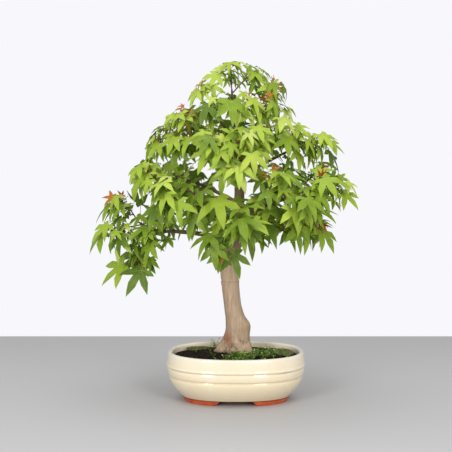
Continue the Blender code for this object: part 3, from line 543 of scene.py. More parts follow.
def paint(piece, name, values):
    mesh = piece.data
    layer = mesh.attributes.new(name, 'FLOAT', 'POINT')
    layer.data.foreach_set("value", np.asarray(values, dtype=np.float32))


def bell(distance, width):
    return math.exp(-(distance / width) ** 2)


# ---------------------------------------------------------------- pot

def belly(share):
    return SHOULDER_INSET + (BASE_INSET - SHOULDER_INSET) * (1 - share) ** 1.7


def pot_section():
    """Inset and height of each ring, from the base round the outside, over the rim to the floor."""
    shoulder = RIM_TOP - LOWER_GROOVE_DROP
    upper_groove = RIM_TOP - UPPER_GROOVE_DROP
    ridge = RIM_TOP - RIDGE_DROP
    floor = POT_BASE + FLOOR_THICKNESS
    rise = shoulder - POT_BASE
    section = [(BASE_INSET + 0.0016, POT_BASE), (BASE_INSET + 0.0005, POT_BASE + 0.0003)]
    section += [(belly(k / 14), POT_BASE + 0.0010 + (rise - 0.0018) * k / 14) for k in range(15)]
    section += [(SHOULDER_INSET + GROOVE_DEPTH * dip, shoulder + GROOVE_DEPTH * lift) for dip, lift in (
        (0.25, -0.25), (0.85, 0.2), (1.0, 0.8), (0.7, 1.5), (0.0, 2.1), (-0.9, 2.7))]
    band = upper_groove - shoulder
    section += [(BAND_INSET + 0.0010 * (1 - k / 5) ** 2, shoulder + 0.0032 + (band - 0.0062) * k / 5)
                for k in range(6)]
    section += [(BAND_INSET + GROOVE_DEPTH * dip, upper_groove + GROOVE_DEPTH * lift) for dip, lift in (
        (0.1, -2.2), (0.5, -1.2), (1.0, -0.5), (1.15, 0.1), (0.6, 0.8), (-0.3, 1.3))]
    section += [(0.0009 * (1 - math.cos(turn)), ridge + 0.0016 * math.sin(turn) + 0.0007)
                for turn in (-1.0, -0.5, 0.0, 0.5, 1.0, 1.4)]
    neck_low, neck_high = ridge + 0.0032, RIM_TOP - 0.0034
    section += [(0.0010 + (RIM_INSET - 0.0010) * (k / 7) ** 1.3, neck_low + (neck_high - neck_low) * k / 7)
                for k in range(8)]
    middle = RIM_INSET + RIM_WIDTH / 2
    section += [(middle - RIM_WIDTH / 2 * math.cos(turn), RIM_TOP - 0.0030 + 0.0030 * math.sin(turn))
                for turn in (math.pi * k / 12 for k in range(1, 12))]
    depth = RIM_TOP - 0.003 - floor
    section += [(RIM_INSET + RIM_WIDTH + (BASE_INSET - RIM_INSET) * (k / 12) ** 2.2,
                 RIM_TOP - 0.003 - depth * k / 12) for k in range(13)]
    return section


def fine_pot():
    """One oval ring, drawn up into the wall by extruding, and closed by the floor."""
    section = pot_section()
    start, base = section[0]
    bpy.ops.mesh.primitive_circle_add(vertices=OVAL_SIDES, radius=1.0, fill_type='NGON')
    piece = bpy.context.object
    piece.name = "oval_pot"
    for vert in piece.data.vertices:
        c, s = vert.co.x, vert.co.y
        reach = (abs(c) ** OVAL_POWER + abs(s) ** OVAL_POWER) ** (-1 / OVAL_POWER)
        vert.co = (POT_MIDDLE.x + (POT_HALF_X - start) * c * reach,
                   POT_MIDDLE.y + (POT_HALF_Y - start) * s * reach, base)
    edit(piece)
    bpy.ops.mesh.select_non_manifold()
    for (inset, height), (next_inset, next_height) in zip(section, section[1:]):
        shrink = [(half - next_inset) / (half - inset) for half in (POT_HALF_X, POT_HALF_Y)]
        bpy.ops.mesh.extrude_edges_move(TRANSFORM_OT_translate={"value": (0, 0, next_height - height)})
        bpy.ops.transform.resize(value=(*shrink, 1.0),
                                 center_override=(POT_MIDDLE.x, POT_MIDDLE.y, next_height))
    bpy.ops.mesh.edge_face_add()
    bpy.ops.mesh.select_all(action='SELECT')
    bpy.ops.mesh.normals_make_consistent(inside=False)
    leave_edit()
    first_bare = len(section) - BARE_RINGS
    paint(piece, "bare", [1.0 if k // OVAL_SIDES in (0, *range(first_bare, len(section))) else 0.0
                          for k in range(len(piece.data.vertices))])
    for side in (-1, 1):
        place = POT_MIDDLE + Vector((side * DRAIN_SPACING / 2, 0, POT_BASE))
        bpy.ops.mesh.primitive_cylinder_add(vertices=40, radius=DRAIN_RADIUS, depth=0.04, location=place)
        drill = bpy.context.object
        modify(piece, 'BOOLEAN', operation='DIFFERENCE', solver='EXACT', object=drill)
        bpy.data.objects.remove(drill)
    for vert in piece.data.vertices:
        away = vert.co - POT_MIDDLE
        lump = noise.noise(vert.co * 16.0)
        if vert.co.z > POT_BASE + 0.001:
            vert.co += Vector((away.x, away.y, 0)).normalized() * POT_WOBBLE * lump
    hand_in(dress(piece, cream_glaze(), 35.0), "cream_glaze", "pot")


def fine_feet():
    clay = bare_clay()
    for node in ("foot_front_left", "foot_front_right", "foot_back_left", "foot_back_right"):
        piece = merged_copy(node, node.replace("foot", "clay_foot"))
        soften_edges(piece, 2.0, 0.0007, 3, 35.0)
        hand_in(dress(piece, clay, 50.0), "bare_clay", node)


def fine_drains():
    plastic = screen_plastic()
    wire = clip_wire()
    for side in ("left", "right"):
        screen = merged_copy("drain_screen_" + side, "mesh_screen_" + side)
        soften_edges(screen, 1.0, 0.0002, 2, 50.0)
        hand_in(dress(screen, plastic, 40.0), "screen_plastic", "drain_screen_" + side)
        clip = merged_copy("screen_clip_" + side, "bent_clip_" + side)
        modify(clip, 'SUBSURF', levels=2, render_levels=2)
        hand_in(dress(clip, wire), "clip_wire", "screen_clip_" + side)


# ---------------------------------------------------------------- soil and what grows on it

def tree_of(piece):
    mesh = piece.data
    return BVHTree.FromPolygons([vert.co.copy() for vert in mesh.vertices],
                                [tuple(face.vertices) for face in mesh.polygons])


def ground_at(tree, x, y):
    """The soil's surface under a place, and its normal."""
    hit, normal, _, _ = tree.ray_cast(Vector((x, y, RIM_TOP + 0.1)), Vector((0, 0, -1)))
    return hit, normal


def crumb_height(point, normal):
    """Lumps, crumbs and grains on the soil's upper side."""
    if normal.z < 0.3:
        return 0.0
    lumps = noise.noise(point * 90.0) * 0.0009
    crumbs = (0.45 - noise.voronoi(point * 330.0)[0][0]) * 0.0016
    grains = (0.45 - noise.voronoi(point * 760.0)[0][0]) * 0.0007
    return lumps + crumbs + grains


def fine_soil():
    piece = merged_copy("soil", "potting_mix")
    modify(piece, 'REMESH', mode='VOXEL', voxel_size=0.0010)
    push(piece, crumb_height)
    return hand_in(dress(piece, damp_soil()), "soil", "soil")


def in_pot(rng, share):
    """A random place on the soil."""
    while True:
        x, y = rng.uniform(-1, 1), rng.uniform(-1, 1)
        if abs(x) ** OVAL_POWER + abs(y) ** OVAL_POWER < share:
            return (POT_MIDDLE.x + x * (SOIL_HIGH.x - SOIL_LOW.x) / 2 * 0.97,
                    POT_MIDDLE.y + y * (SOIL_HIGH.y - SOIL_LOW.y) / 2 * 0.97)


def loose_crumbs(ground, soil_finish):
    """Crumbs and bits of grit that lie on the soil, each an uneven lump of eight faces."""
    rng = random.Random(7)
    corners = (UP, *(Vector(side) for side in ((1, 0, 0), (0, 1, 0), (-1, 0, 0), (0, -1, 0))), -UP)
    lump = [face for k in range(4) for face in ((0, k + 1, (k + 1) % 4 + 1), (5, (k + 1) % 4 + 1, k + 1))]
    points, faces = [], []
    for _ in range(900):
        place, normal = ground_at(ground, *in_pot(rng, 0.86))
        if place is None or normal.z < 0.4:
            continue
        size = rng.choice((0.5, 0.7, 0.9, 1.3, 1.9)) * MM * rng.uniform(0.7, 1.2)
        turn = Matrix.Rotation(rng.uniform(0, 6.3), 3, Vector((rng.random(), rng.random(), 1)))
        first = len(points)
        for corner in corners:
            squash = Vector((1.0, rng.uniform(0.6, 1.0), rng.uniform(0.5, 0.8)))
            out = turn @ (corner * size * 0.6 * squash) * rng.uniform(0.75, 1.2)
            points.append(place + UP * size * 0.25 + out)
        faces += [tuple(first + i for i in face) for face in lump]
    hand_in(dress(mesh_piece("soil_crumbs", points, faces), soil_finish), "soil")


def moss_height(point, normal):
    """Soft lumps and tufts on a cushion's upper side."""
    tufts = (0.4 - noise.voronoi(point * 520.0)[0][0]) * 0.0014
    return max(normal.z, 0.0) * (noise.noise(point * 150.0) * 0.0008 + tufts)


def fine_moss():
    green = moss_green()
    rng = random.Random(11)
    for node, name in (("moss_left", "moss_cushion_left"), ("moss_right", "moss_cushion_right")):
        piece = merged_copy(node, name)
        modify(piece, 'REMESH', mode='VOXEL', voxel_size=0.0006)
        push(piece, moss_height)
        paint(piece, "tint", [0.0] * len(piece.data.vertices))
        whole = joined(name, [piece, moss_tufts(piece, rng, 1500)])
        whole.data.materials.clear()
        hand_in(dress(whole, green), "moss", node)


def moss_tufts(piece, rng, count):
    """Short pointed leaflets that stand on a cushion."""
    points, faces, tints = [], [], []
    verts = [vert for vert in piece.data.vertices if vert.normal.z > 0.25]
    for vert in rng.sample(verts, min(count, len(verts))):
        lean = Vector((rng.uniform(-0.6, 0.6), rng.uniform(-0.6, 0.6), 1.0)).normalized()
        tip = vert.co + (vert.normal * 0.6 + lean) * rng.uniform(0.7, 1.5) * MM
        first = len(points)
        for k in range(3):
            angle = 2.1 * k + rng.random()
            out = Vector((math.cos(angle), math.sin(angle), 0)) * 0.00030
            points.append(vert.co - vert.normal * 0.0004 + out)
        points.append(tip)
        tints += [0.0, 0.0, 0.0, 1.0]
        faces += [tuple(first + i for i in face) for face in ((0, 1, 3), (1, 2, 3), (2, 0, 3), (2, 1, 0))]
    made = mesh_piece("moss_tufts", points, faces)
    paint(made, "tint", tints)
    return made


def leaflet(points, faces, tints, base, along, length, width, tint):
    """A small oval leaf: a thin closed lens of eight faces, cupped a little."""
    side = along.cross(UP).normalized()
    over = side.cross(along).normalized()
    first = len(points)
    middle = base + along * length * 0.5
    cup = over * length * 0.06
    points += [base, middle + side * width / 2 + cup, base + along * length, middle - side * width / 2 + cup,
               middle + over * 0.0001, middle - over * 0.0001]
    tints += [tint] * 6
    for i in range(4):
        j = (i + 1) % 4
        faces.append((first + i, first + j, first + 4))
        faces.append((first + j, first + i, first + 5))


def seedlings(name, spots, ground, rng, height, leaf, finish):
    """Small weeds: a thin stem each, with pairs of oval leaves up it and one on top."""
    points, faces, tints, stems = [], [], [], []
    for x, y in spots:
        foot, _ = ground_at(ground, x, y)
        if foot is None:
            continue
        tall = height * rng.uniform(0.5, 1.15)
        lean = Vector((rng.uniform(-0.5, 0.5), rng.uniform(-0.6, 0.35), 1.0)).normalized()
        bow = Vector((rng.uniform(-0.25, 0.25), rng.uniform(-0.25, 0.25), 0))
        route = [foot - UP * 0.001 + (lean + bow * share) * tall * share for share in (0.0, 0.35, 0.7, 1.0)]
        stems.append([(point, (0.00034 - 0.00012 * k / 3)) for k, point in enumerate(route)])
        turn = rng.uniform(0, 6.3)
        for level, place in enumerate(route[1:]):
            for half in range(2 if level < 2 else 3):
                turn += math.pi if level < 2 else 2.1
                way = Vector((math.cos(turn), math.sin(turn), rng.uniform(0.0, 0.7))).normalized()
                size = leaf * rng.uniform(0.6, 1.15)
                width = size * rng.uniform(0.45, 0.75)
                leaflet(points, faces, tints, place, way, size, width, rng.random())
            turn += 1.4
    leaves = mesh_piece(name, points, faces)
    paint(leaves, "tint", tints)
    leaves.data.materials.append(finish)
    return joined(name, [leaves, strands(name + "_stems", stems, finish, 0)])


def scatter(rng, centre, spread, count):
    return [(rng.gauss(centre[0], spread[0]), rng.gauss(centre[1], spread[1])) for _ in range(count)]


def fine_weeds(ground):
    """Beds of weeds; where no centre is given, it is the node's own."""
    finish = seedling_green()
    rng = random.Random(23)
    by_trunk = POT_MIDDLE + Vector((0.002, -0.027, 0.0))
    for name, node, centre, spread, count, at_centre, height, leaf in (
            ("weeds_front", "weed_front", None, (0.013, 0.009), 60, 1, 0.009, 0.0042),
            ("weeds_by_trunk", "weed_front", by_trunk, (0.006, 0.004), 24, 0, 0.007, 0.0036),
            ("weeds_right", "weed_right", None, (0.018, 0.010), 60, 1, 0.010, 0.0040),
            ("sprout_left", "grass_left", None, (0.003, 0.003), 7, 0, 0.017, 0.0034)):
        low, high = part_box(node)
        centre = centre or (low + high) / 2
        spots = scatter(rng, centre, spread, count) + [(centre.x, centre.y)] * at_centre
        hand_in(seedlings(name, spots, ground, rng, height, leaf, finish), "weeds", node)
    spots = [in_pot(rng, 0.7) for _ in range(26)]
    hand_in(seedlings("weeds_scattered", spots, ground, rng, 0.006, 0.0030, finish), "weeds")


# ---------------------------------------------------------------- wood

def bark_relief(point, normal):
    """Swellings, shallow furrows up the trunk, the old scar and knots at the roots."""
    height = point.z - SOIL_HIGH.z
    slow = noise.noise(Vector((point.x * 45.0, point.y * 45.0, point.z * 22.0)))
    furrow = noise.noise(Vector((point.x * 300.0, point.y * 300.0, point.z * 34.0)))
    fine = noise.noise(Vector((point.x * 700.0, point.y * 700.0, point.z * 120.0)))
    out = math.hypot(point.x - POT_MIDDLE.x, point.y - POT_MIDDLE.y)
    stout = max(0.12, min(1.0, 1.25 - height / 0.30)) if out < 0.035 else 0.12
    reach = (slow * 0.0014 + furrow * 0.00026 + fine * 0.00015) * stout
    if out < TRUNK_REACH:
        tilt = height - (point.x - POT_MIDDLE.x) * SCAR_TILT - SCAR_HEIGHT
        reach += 0.0005 * (bell(tilt, 0.0030) - bell(tilt - 0.004, 0.0018))
        reach += 0.0046 * bell((point - KNOB).length, 0.0125)
        reach += 0.0012 * bell((point - STUB).length, 0.006)
    if height < ROOT_HEIGHT:
        reach += noise.noise(point * 140.0) * 0.0012 * (1.0 - max(height, 0.0) / ROOT_HEIGHT)
    return reach


def fine_trunk():
    piece = merged_copy("trunk", "maple_wood")
    modify(piece, 'REMESH', mode='VOXEL', voxel_size=0.00105)
    modify(piece, 'SMOOTH', factor=0.5, iterations=6)
    push(piece, bark_relief)
    return hand_in(dress(piece, maple_bark()), "bark", "trunk")


# ---------------------------------------------------------------- leaves

class Blade:
    """The flat pattern of one leaf, a thin lens, with each corner's lobe and place on it."""

    def __init__(self):
        piece = self.model()
        self.corners = np.array([vert.co[:] for vert in piece.data.vertices])
        self.faces = [tuple(face.vertices) for face in piece.data.polygons]
        bpy.data.objects.remove(piece)
        bearings = np.radians([bearing for bearing, _ in LOBES])
        sines, cosines = np.sin(bearings), np.cos(bearings)
        u, v = self.corners[:, 0], self.corners[:, 1]
        self.side = self.corners[:, 2]      # 1 on the upper face, -1 on the lower, 0 on the edge
        off = np.abs(np.outer(u, cosines) - np.outer(v, sines))
        off[np.outer(u, sines) + np.outer(v, cosines) < 0] = 9.0
        self.lobe = off.argmin(axis=1)
        self.sine, self.cosine = sines[self.lobe], cosines[self.lobe]
        self.out = u * self.sine + v * self.cosine
        self.off = u * self.cosine - v * self.sine
        self.reach = np.array([reach for _, reach in LOBES])[self.lobe]
        self.uv = np.column_stack((u / UV_WIDTH + 0.5, (v + UV_BELOW) / UV_HEIGHT))

    @staticmethod
    def model():
        """A five-sided fan between the notches; each side is drawn out into a lobe."""
        bpy.ops.mesh.primitive_circle_add(vertices=5, radius=0.3, fill_type='TRIFAN')
        piece = bpy.context.object
        roots = [(0.0, -0.03)]
        for bearing, reach in NOTCHES:
            roots.append((reach * math.sin(math.radians(bearing)), reach * math.cos(math.radians(bearing))))
        rim = sorted((vert for vert in piece.data.vertices if vert.co.length > 0.1),
                     key=lambda vert: -math.atan2(vert.co.y, vert.co.x))
        for vert, root in zip(rim, roots):
            vert.co = (*root, 0.0)
        for vert in piece.data.vertices:
            if vert not in rim and vert.co.length < 0.05:
                vert.co = (0.0, LEAF_CENTRE, 0.0)
        edit(piece)
        for lobe, (bearing, reach) in enumerate(LOBES):
            Blade.draw_lobe(piece, roots[lobe], roots[(lobe + 1) % 5], math.radians(bearing), reach)
        Blade.give_thickness(piece)
        leave_edit()
        return piece

    @staticmethod
    def draw_lobe(piece, left, right, bearing, reach):
        sketch = bmesh.from_edit_mesh(piece.data)
        ends = [Vector((*left, 0.0)), Vector((*right, 0.0))]
        for edge in sketch.edges:
            if all(min((vert.co - end).length for end in ends) < 1e-5 for vert in edge.verts):
                edge.select_set(True)
        bmesh.update_edit_mesh(piece.data)
        bpy.ops.mesh.subdivide(number_cuts=1)
        ahead = Vector((math.sin(bearing), math.cos(bearing), 0.0))
        across = Vector((math.cos(bearing), -math.sin(bearing), 0.0))
        for share, half in (*LOBE_STATIONS, (1.0, 0.0)):
            bpy.ops.mesh.extrude_edges_move()
            sketch = bmesh.from_edit_mesh(piece.data)
            row = sorted((vert for vert in sketch.verts if vert.select), key=lambda vert: vert.co.dot(across))
            for vert, step in zip(row, (-1, 0, 1)):
                vert.co = ahead * share * reach + across * step * half * (0.55 + 0.45 * reach)
            bmesh.update_edit_mesh(piece.data)
        bpy.ops.mesh.merge(type='CENTER')
        bpy.ops.mesh.select_all(action='DESELECT')

    @staticmethod
    def give_thickness(piece):
        """A second, turned skin under the first, sewn to it along the edge."""
        bpy.ops.mesh.select_all(action='SELECT')
        bpy.ops.mesh.normals_make_consistent(inside=False)
        sketch = bmesh.from_edit_mesh(piece.data)
        if sum(face.normal.z for face in sketch.faces) < 0:
            bpy.ops.mesh.flip_normals()
        sketch = bmesh.from_edit_mesh(piece.data)
        inner = [vert for vert in sketch.verts if not vert.is_boundary]
        for vert in inner:
            vert.co.z = 1.0
        bmesh.update_edit_mesh(piece.data)
        bpy.ops.mesh.duplicate()
        bpy.ops.mesh.flip_normals()
        bpy.ops.transform.resize(value=(1.0, 1.0, -1.0), center_override=(0.0, 0.0, 0.0))
        bpy.ops.mesh.select_all(action='SELECT')
        bpy.ops.mesh.remove_doubles(threshold=1e-5)


class Leaf:
    """Where one leaf hangs: its stalk's foot, the blade's base, its three axes, length and droop."""

    def __init__(self, foot, base, along, face, length, droop):
        self.foot = foot
        self.base = base
        self.along = along.normalized()
        self.face = (face - self.along * face.dot(self.along)).normalized()
        self.across = self.along.cross(self.face)
        self.length = length
        self.droop = droop

    def stalk(self, radius=STALK_RADIUS):
        """The stalk's route, bowed a little, ending under the blade."""
        chord = self.base - self.foot
        bow = self.face * 0.06 * chord.length + UP * 0.05 * chord.length
        end = self.base + self.along * self.length * 0.05 - self.face * 0.0003
        return [(self.foot, radius * 1.25), (self.foot.lerp(self.base, 0.35) + bow, radius),
                (self.foot.lerp(self.base, 0.72) + bow * 0.9, radius * 0.9), (self.base, radius * 0.95),
                (end, radius * 0.5)]

    def shape(self, blade, rng, width=1.0, fold=0.32):
        """The blade's corners in place: lobes swing, twist, fold along their ribs and curl down."""
        ranges = ((-6, 6), (-0.45, 0.45), (0.02, 0.40), (0.90, 1.06))
        swing, twist, curl, stretch = (np.array([rng.uniform(low, high) for _ in LOBES])[blade.lobe]
                                       for low, high in ranges)
        free = np.clip((blade.out / blade.reach - 0.35) / 0.3, 0.0, 1.0)
        out = blade.out * (1 + (stretch - 1) * free)
        off = blade.off * (1 + (width - 1) * free)
        swing = np.radians(swing) * free
        sine = blade.sine * np.cos(swing) + blade.cosine * np.sin(swing)
        cosine = blade.cosine * np.cos(swing) - blade.sine * np.sin(swing)
        u = out * sine + off * cosine
        v = out * cosine - off * sine
        lift = fold * np.abs(off) + twist * off * free
        lift = lift - curl * np.clip(blade.out / blade.reach - 0.5, 0.0, None) ** 2 * blade.reach
        lift = lift - self.droop * (u * u + v * v)
        thick = blade.side * LEAF_THICKNESS / 2 - CAD_LEAF_THICKNESS / 2
        axes = np.array([self.across, self.along, self.face])
        local = np.column_stack((u * self.length, v * self.length, lift * self.length + thick))
        return np.array(self.base) + local @ axes


def walk(hub):
    """The corners around a hub in order, as its faces turn."""
    following = {}
    for face in hub.link_faces:
        corners = list(face.verts)
        i = corners.index(hub)
        following[corners[(i + 1) % 3]] = corners[(i + 2) % 3]
    ring = [next(iter(following))]
    while len(ring) < len(following):
        ring.append(following[ring[-1]])
    return ring


def read_leaf(upper, lower):
    """A leaf's place, from the two hubs of its CAD plate and the corners around them."""
    own = set(walk(upper)) | set(walk(lower)) | {upper, lower}
    feet = {edge.other_vert(corner) for corner in own for edge in corner.link_edges} - own
    ring = walk(upper)
    holds = [any(edge.other_vert(corner) in feet for edge in corner.link_edges) for corner in ring]
    start = next(i for i in range(CAD_SPOKES) if holds[i] and holds[i - 1])
    ring = ring[start:] + ring[:start]
    base = (ring[0].co + ring[-1].co) / 2
    side_bearing, side_reach = LOBES[3]
    forward = side_reach * math.cos(math.radians(side_bearing))
    middle = ring[4].co - base
    sides = (ring[2].co + ring[6].co) / 2 - base
    hang = (middle * forward - sides) / (side_reach ** 2 - forward)
    ahead = middle + hang
    foot = sum((corner.co for corner in feet), Vector()) / len(feet)
    return own, Leaf(foot, base, ahead, hang, ahead.length, hang.length / ahead.length)


class Spray:
    """One leafy twig as the CAD has it: the twig's route and radii, and its leaves."""

    def __init__(self, node):
        body = bmesh.new()
        body.from_mesh(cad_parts[node].data)
        bmesh.ops.remove_doubles(body, verts=body.verts, dist=WELD)
        body.normal_update()
        hubs = [vert for vert in body.verts if self.is_hub(vert)]
        self.leaves = []
        used = set()
        for hub in hubs:
            normal = sum((face.normal for face in hub.link_faces), Vector())
            if sum((corner.co - hub.co).dot(normal) for corner in walk(hub)) < 0:
                under = min((other for other in hubs if other is not hub),
                            key=lambda other: (other.co - hub.co).length)
                own, leaf = read_leaf(hub, under)
                used |= own
                self.leaves.append(leaf)
        twig = [vert.co.copy() for vert in body.verts if vert not in used]
        body.free()
        self.route = self.read_twig(twig)

    @staticmethod
    def is_hub(vert):
        spokes = [edge.calc_length() for edge in vert.link_edges]
        return len(spokes) == CAD_SPOKES and min(spokes) > SHORTEST_SPOKE and max(spokes) > LONGEST_SPOKE

    @staticmethod
    def read_twig(corners):
        """Centres and radii at the twig's foot, its leaf pairs and its tip."""
        groups = []
        for corner in corners:
            near = [group for group in groups
                    if min((corner - other).length for other in group) < RING_REACH]
            groups = [group for group in groups if group not in near]
            groups.append(sum(near, []) + [corner])
        ends = []
        knots = []
        for group in groups:
            centre = sum(group, Vector()) / len(group)
            radius = sum((corner - centre).length for corner in group) / len(group)
            knots.append((centre, radius))
            if len(group) == TWIG_SIDES:
                ends.append((radius, centre))
        _, foot = max(ends, key=lambda end: end[0])
        return sorted(knots, key=lambda knot: (knot[0] - foot).length)


def rounded(knots, count):
    """A smooth curve through knots of (point, radius), as evenly spaced samples."""
    ends = [knots[0], *knots, knots[-1]]
    samples = []
    for step in range(count):
        place = (len(knots) - 1) * step / (count - 1)
        i = min(int(place), len(knots) - 2)
        t = place - i
        weights = ((-t + 2 * t * t - t ** 3) / 2, (2 - 5 * t * t + 3 * t ** 3) / 2,
                   (t + 4 * t * t - 3 * t ** 3) / 2, (t ** 3 - t * t) / 2)
        point = sum((knot[0] * weight for knot, weight in zip(ends[i:i + 4], weights)), Vector())
        radius = sum(knot[1] * weight for knot, weight in zip(ends[i:i + 4], weights))
        samples.append((point, radius))
    return samples


def twig_strand(spray):
    """The twig from inside its limb to a small bud at its tip."""
    (foot, radius), (after, _) = spray.route[0], spray.route[1]
    tip, tip_radius = spray.route[-1]
    before = spray.route[-2][0]
    back = (foot - after).normalized()
    ahead = (tip - before).normalized()
    return [(foot + back * 0.0028, radius * 0.95),
            *((point, thick * 0.85) for point, thick in rounded(spray.route, 14)),
            (tip + ahead * 0.0012, tip_radius * 1.2), (tip + ahead * 0.0030, tip_radius * 0.25)]


def hang_leaf(rng, foot, ahead, side, size, young):
    """One way that a leaf may hang from a place on its twig."""
    outward = Vector((foot.x, foot.y, 0.0)).normalized()
    length = LEAF_SIZE * size * rng.uniform(0.8, 1.15)
    stalk = (ahead * rng.uniform(0.2, 0.9) + side * rng.uniform(0.5, 1.0)
             + UP * rng.uniform(-0.4, 0.7 if young else 0.4) + outward * 0.3).normalized()
    base = foot + stalk * length * rng.uniform(0.35, 0.85)
    sag = rng.uniform(-0.3, 0.5) if young else rng.uniform(0.3, 1.1)
    along = outward * rng.uniform(0.1, 0.7) + stalk * rng.uniform(0.2, 0.8) - UP * sag
    facing_front = rng.uniform(0.1, 0.8) * (1.0 if foot.y < POT_MIDDLE.y + 0.03 else 0.0)
    face = (outward * 0.7 + FRONT * facing_front + UP * rng.uniform(0.3, 1.3)
            + side * rng.uniform(-0.3, 0.6))
    return Leaf(foot, base, along, face, length, rng.uniform(0.08, 0.34))


def share_of_crown(corners):
    """How far out the farthest corner is: 1 at the crown's outline, more outside it."""
    heights, left, right = np.array(OUTLINE).T * MM
    x = corners[:, 0] - POT_MIDDLE.x
    y = corners[:, 1] - POT_MIDDLE.y
    z = corners[:, 2] - TREE_FOOT
    left = np.interp(z, heights, left)
    right = np.interp(z, heights, right)
    deep = (left + right) / 2 * CROWN_DEEPNESS
    return np.hypot(x / np.where(x < 0, left, right), y / deep).max()


class Crown:
    """Every leaf of the tree: those of the CAD, and smaller ones that find room between them."""

    def __init__(self, wood):
        self.rng = random.Random(5)
        self.blade = Blade()
        self.wood = wood
        self.taken = []             # middle, reach and tree of each leaf
        self.sprays = {node: Spray(node) for node in sorted(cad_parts) if node.startswith("leaf_spray")}
        self.grown = {node: [] for node in self.sprays}
        for node, spray in self.sprays.items():
            for leaf in spray.leaves:
                corners = leaf.shape(self.blade, self.rng)
                self.keep(node, leaf, corners, self.tree(corners), 0.0)
        for node, spray in self.sprays.items():
            self.fill_twig(node, spray)
        self.fill_limbs()

    def tree(self, corners):
        return BVHTree.FromPolygons([Vector(corner) for corner in corners], self.blade.faces)

    def keep(self, node, leaf, corners, tree, young):
        self.taken.append((leaf.base, 1.1 * leaf.length, tree))
        # leaves higher up and facing up get a paler green: painted light, with a random spread
        painted_light = 0.30 + 1.3 * (leaf.base.z - 0.30) + 0.10 * leaf.face.z
        tint = min(1.0, max(0.0, self.rng.gauss(painted_light, 0.24)))
        self.grown[node].append((leaf, corners, tint, young))

    def hang(self, node, leaf, young=0.0):
        """Keep a leaf if it stays inside the outline and touches no wood and no other leaf."""
        corners = leaf.shape(self.blade, self.rng, 0.7 if young else 0.95, 0.9 if young else 0.4)
        if share_of_crown(corners) >= WIDEST_SHARE:
            return False
        tree = self.tree(corners)
        if tree.overlap(self.wood) or any(
                (middle - leaf.base).length < reach + 1.1 * leaf.length and tree.overlap(other)
                for middle, reach, other in self.taken):
            return False
        self.keep(node, leaf, corners, tree, young)
        return True

    def fill_twig(self, node, spray):
        """More leaves along the twig, and a few red young ones at its tip."""
        rng = self.rng
        route = rounded(spray.route, 12)
        places = [(rng.uniform(0.15, 0.95), rng.uniform(0.45, 0.85), 0.0) for _ in range(EXTRA_LEAVES)]
        if rng.random() < YOUNG_SHARE:
            places += [(1.0, rng.uniform(0.28, 0.55), rng.uniform(0.6, 1.0))
                       for _ in range(rng.choice((2, 3, 4, 5)))]
        for share, size, young in places:
            i = min(int(share * 11), 10)
            foot = route[i][0].lerp(route[i + 1][0], share * 11 - i)
            ahead = (route[i + 1][0] - route[i][0]).normalized()
            for attempt in range(FILL_TRIES):
                turn = Matrix.Rotation(rng.uniform(0, 2 * math.pi), 3, ahead)
                side = turn @ ahead.orthogonal().normalized()
                leaf = hang_leaf(rng, foot, ahead, side, size * (1 - 0.4 * attempt / FILL_TRIES), young)
                if self.hang(node, leaf, young):
                    break

    def fill_limbs(self):
        """Leaves that grow straight from the limbs, each counted with the nearest leafy twig."""
        rng = self.rng
        feet = {node: spray.route[0][0] for node, spray in self.sprays.items()}
        for _ in range(LIMB_LEAVES):
            start = Vector((POT_MIDDLE.x + rng.uniform(-0.13, 0.13), POT_MIDDLE.y + rng.uniform(-0.11, 0.11),
                            TREE_FOOT + rng.uniform(0.155, 0.37)))
            foot, normal, _, _ = self.wood.find_nearest(start)
            out = Vector((foot.x - POT_MIDDLE.x, foot.y - POT_MIDDLE.y, 0.0)).length
            if foot.z < TREE_FOOT + 0.15 or (out < 0.02 and foot.z < TREE_FOOT + 0.19):
                continue
            node = min(feet, key=lambda name: (feet[name] - foot).length)
            for attempt in range(FILL_TRIES):
                size = rng.uniform(0.6, 1.1) * (1 - 0.4 * attempt / FILL_TRIES)
                leaf = hang_leaf(rng, foot, normal, normal, size, 0.0)
                leaf.foot = foot - normal * 0.0006
                if self.hang(node, leaf):
                    break


def leaf_mesh(name, blade, grown, finish):
    points = np.vstack([corners for _, corners, _, _ in grown])
    size = len(blade.corners)
    faces = [tuple(i + k * size for i in face) for k in range(len(grown)) for face in blade.faces]
    piece = mesh_piece(name, points, faces)
    paint(piece, "tint", np.repeat([tint for _, _, tint, _ in grown], size))
    paint(piece, "young", np.repeat([young for _, _, _, young in grown], size))
    paint(piece, "under", np.tile((1 - blade.side) / 2, len(grown)))
    layer = piece.data.uv_layers.new(name="leaf")
    corner_points = np.zeros(len(piece.data.loops), dtype=np.int32)
    piece.data.loops.foreach_get("vertex_index", corner_points)
    layer.data.foreach_set("uv", blade.uv[corner_points % size].astype(np.float32).ravel())
    return dress(piece, finish, 75.0)


def fine_crown(wood):
    green, twig_finish, stalk_finish = maple_leaf(), young_wood(), leaf_stalk()
    crown = Crown(wood)
    for node, grown in crown.grown.items():
        number = node[-2:]
        leaves = leaf_mesh("leafy_twig_" + number, crown.blade, grown, green)
        twig = strands("twig_" + number, [twig_strand(crown.sprays[node])], twig_finish)
        stalks = strands("stalks_" + number, [leaf.stalk() for leaf, _, _, _ in grown], stalk_finish, 0)
        whole = joined("leafy_twig_" + number, [leaves, twig, stalks])
        hand_in(whole, "leaves", node)


# ---------------------------------------------------------------- studio

def softbox(name, place, aim, size, power):
    data = bpy.data.lights.new(name, 'AREA')
    data.shape = 'RECTANGLE'
    data.size, data.size_y = size
    data.energy = power
    light = placed(name, data)
    light.location = place
    light.rotation_euler = (aim - place).to_track_quat('-Z', 'Y').to_euler()


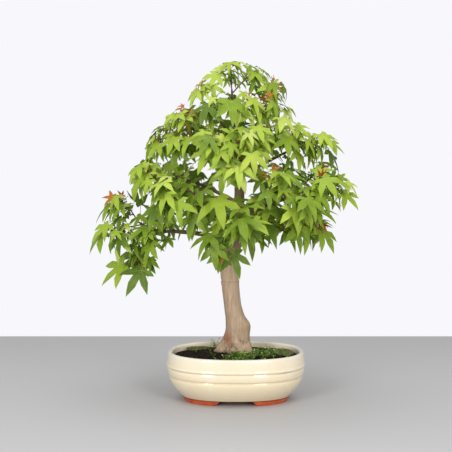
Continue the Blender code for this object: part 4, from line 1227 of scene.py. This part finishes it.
def studio():
    bpy.ops.mesh.primitive_cube_add(size=1.0, location=(POT_MIDDLE.x, POT_MIDDLE.y, -0.01))
    table = bpy.context.object
    table.name = "table_top"
    table.scale = (2 * TABLE_HALF, 2 * TABLE_HALF, 0.02)
    bpy.ops.object.transform_apply(location=True, rotation=True, scale=True)
    table.data.materials.append(floor_paint())

    world = bpy.data.worlds.new("studio")
    bpy.context.scene.world = world
    world.use_nodes = True
    tree = world.node_tree
    room = tree.nodes["Background"]
    room.inputs["Color"].default_value = (1.0, 1.0, 1.0, 1.0)
    room.inputs["Strength"].default_value = ROOM_LIGHT
    wall = tree.nodes.new("ShaderNodeBackground")
    wall.inputs["Color"].default_value = rgb(248, 248, 252)
    seen = tree.nodes.new("ShaderNodeLightPath")
    either = tree.nodes.new("ShaderNodeMixShader")
    tree.links.new(seen.outputs["Is Camera Ray"], either.inputs[0])
    tree.links.new(room.outputs[0], either.inputs[1])
    tree.links.new(wall.outputs[0], either.inputs[2])
    tree.links.new(either.outputs[0], tree.nodes["World Output"].inputs[0])

    crown = POT_MIDDLE + UP * 0.28
    softbox("left_box", POT_MIDDLE + Vector((-0.78, -1.33, 0.72)), crown, (0.46, 0.90), 12.5)
    softbox("right_box", POT_MIDDLE + Vector((0.66, -1.36, 0.72)), crown, (0.46, 0.90), 11.5)
    softbox("top_box", POT_MIDDLE + Vector((0.0, -0.1, 1.5)), crown, (1.2, 1.2), 9.0)

    data = bpy.data.cameras.new("camera")
    data.lens = LENS
    data.sensor_width = 36.0
    camera = placed("camera", data)
    camera.location = CAMERA_PLACE
    camera.rotation_euler = (math.radians(90.0 - CAMERA_TILT), 0.0, 0.0)
    bpy.context.scene.camera = camera
    bpy.context.scene.view_settings.view_transform = 'Standard'


def main():
    studio()
    fine_pot()
    fine_feet()
    fine_drains()
    soil = fine_soil()
    ground = tree_of(soil)
    loose_crumbs(ground, soil.data.materials[0])
    fine_moss()
    fine_weeds(ground)
    fine_crown(tree_of(fine_trunk()))


main()
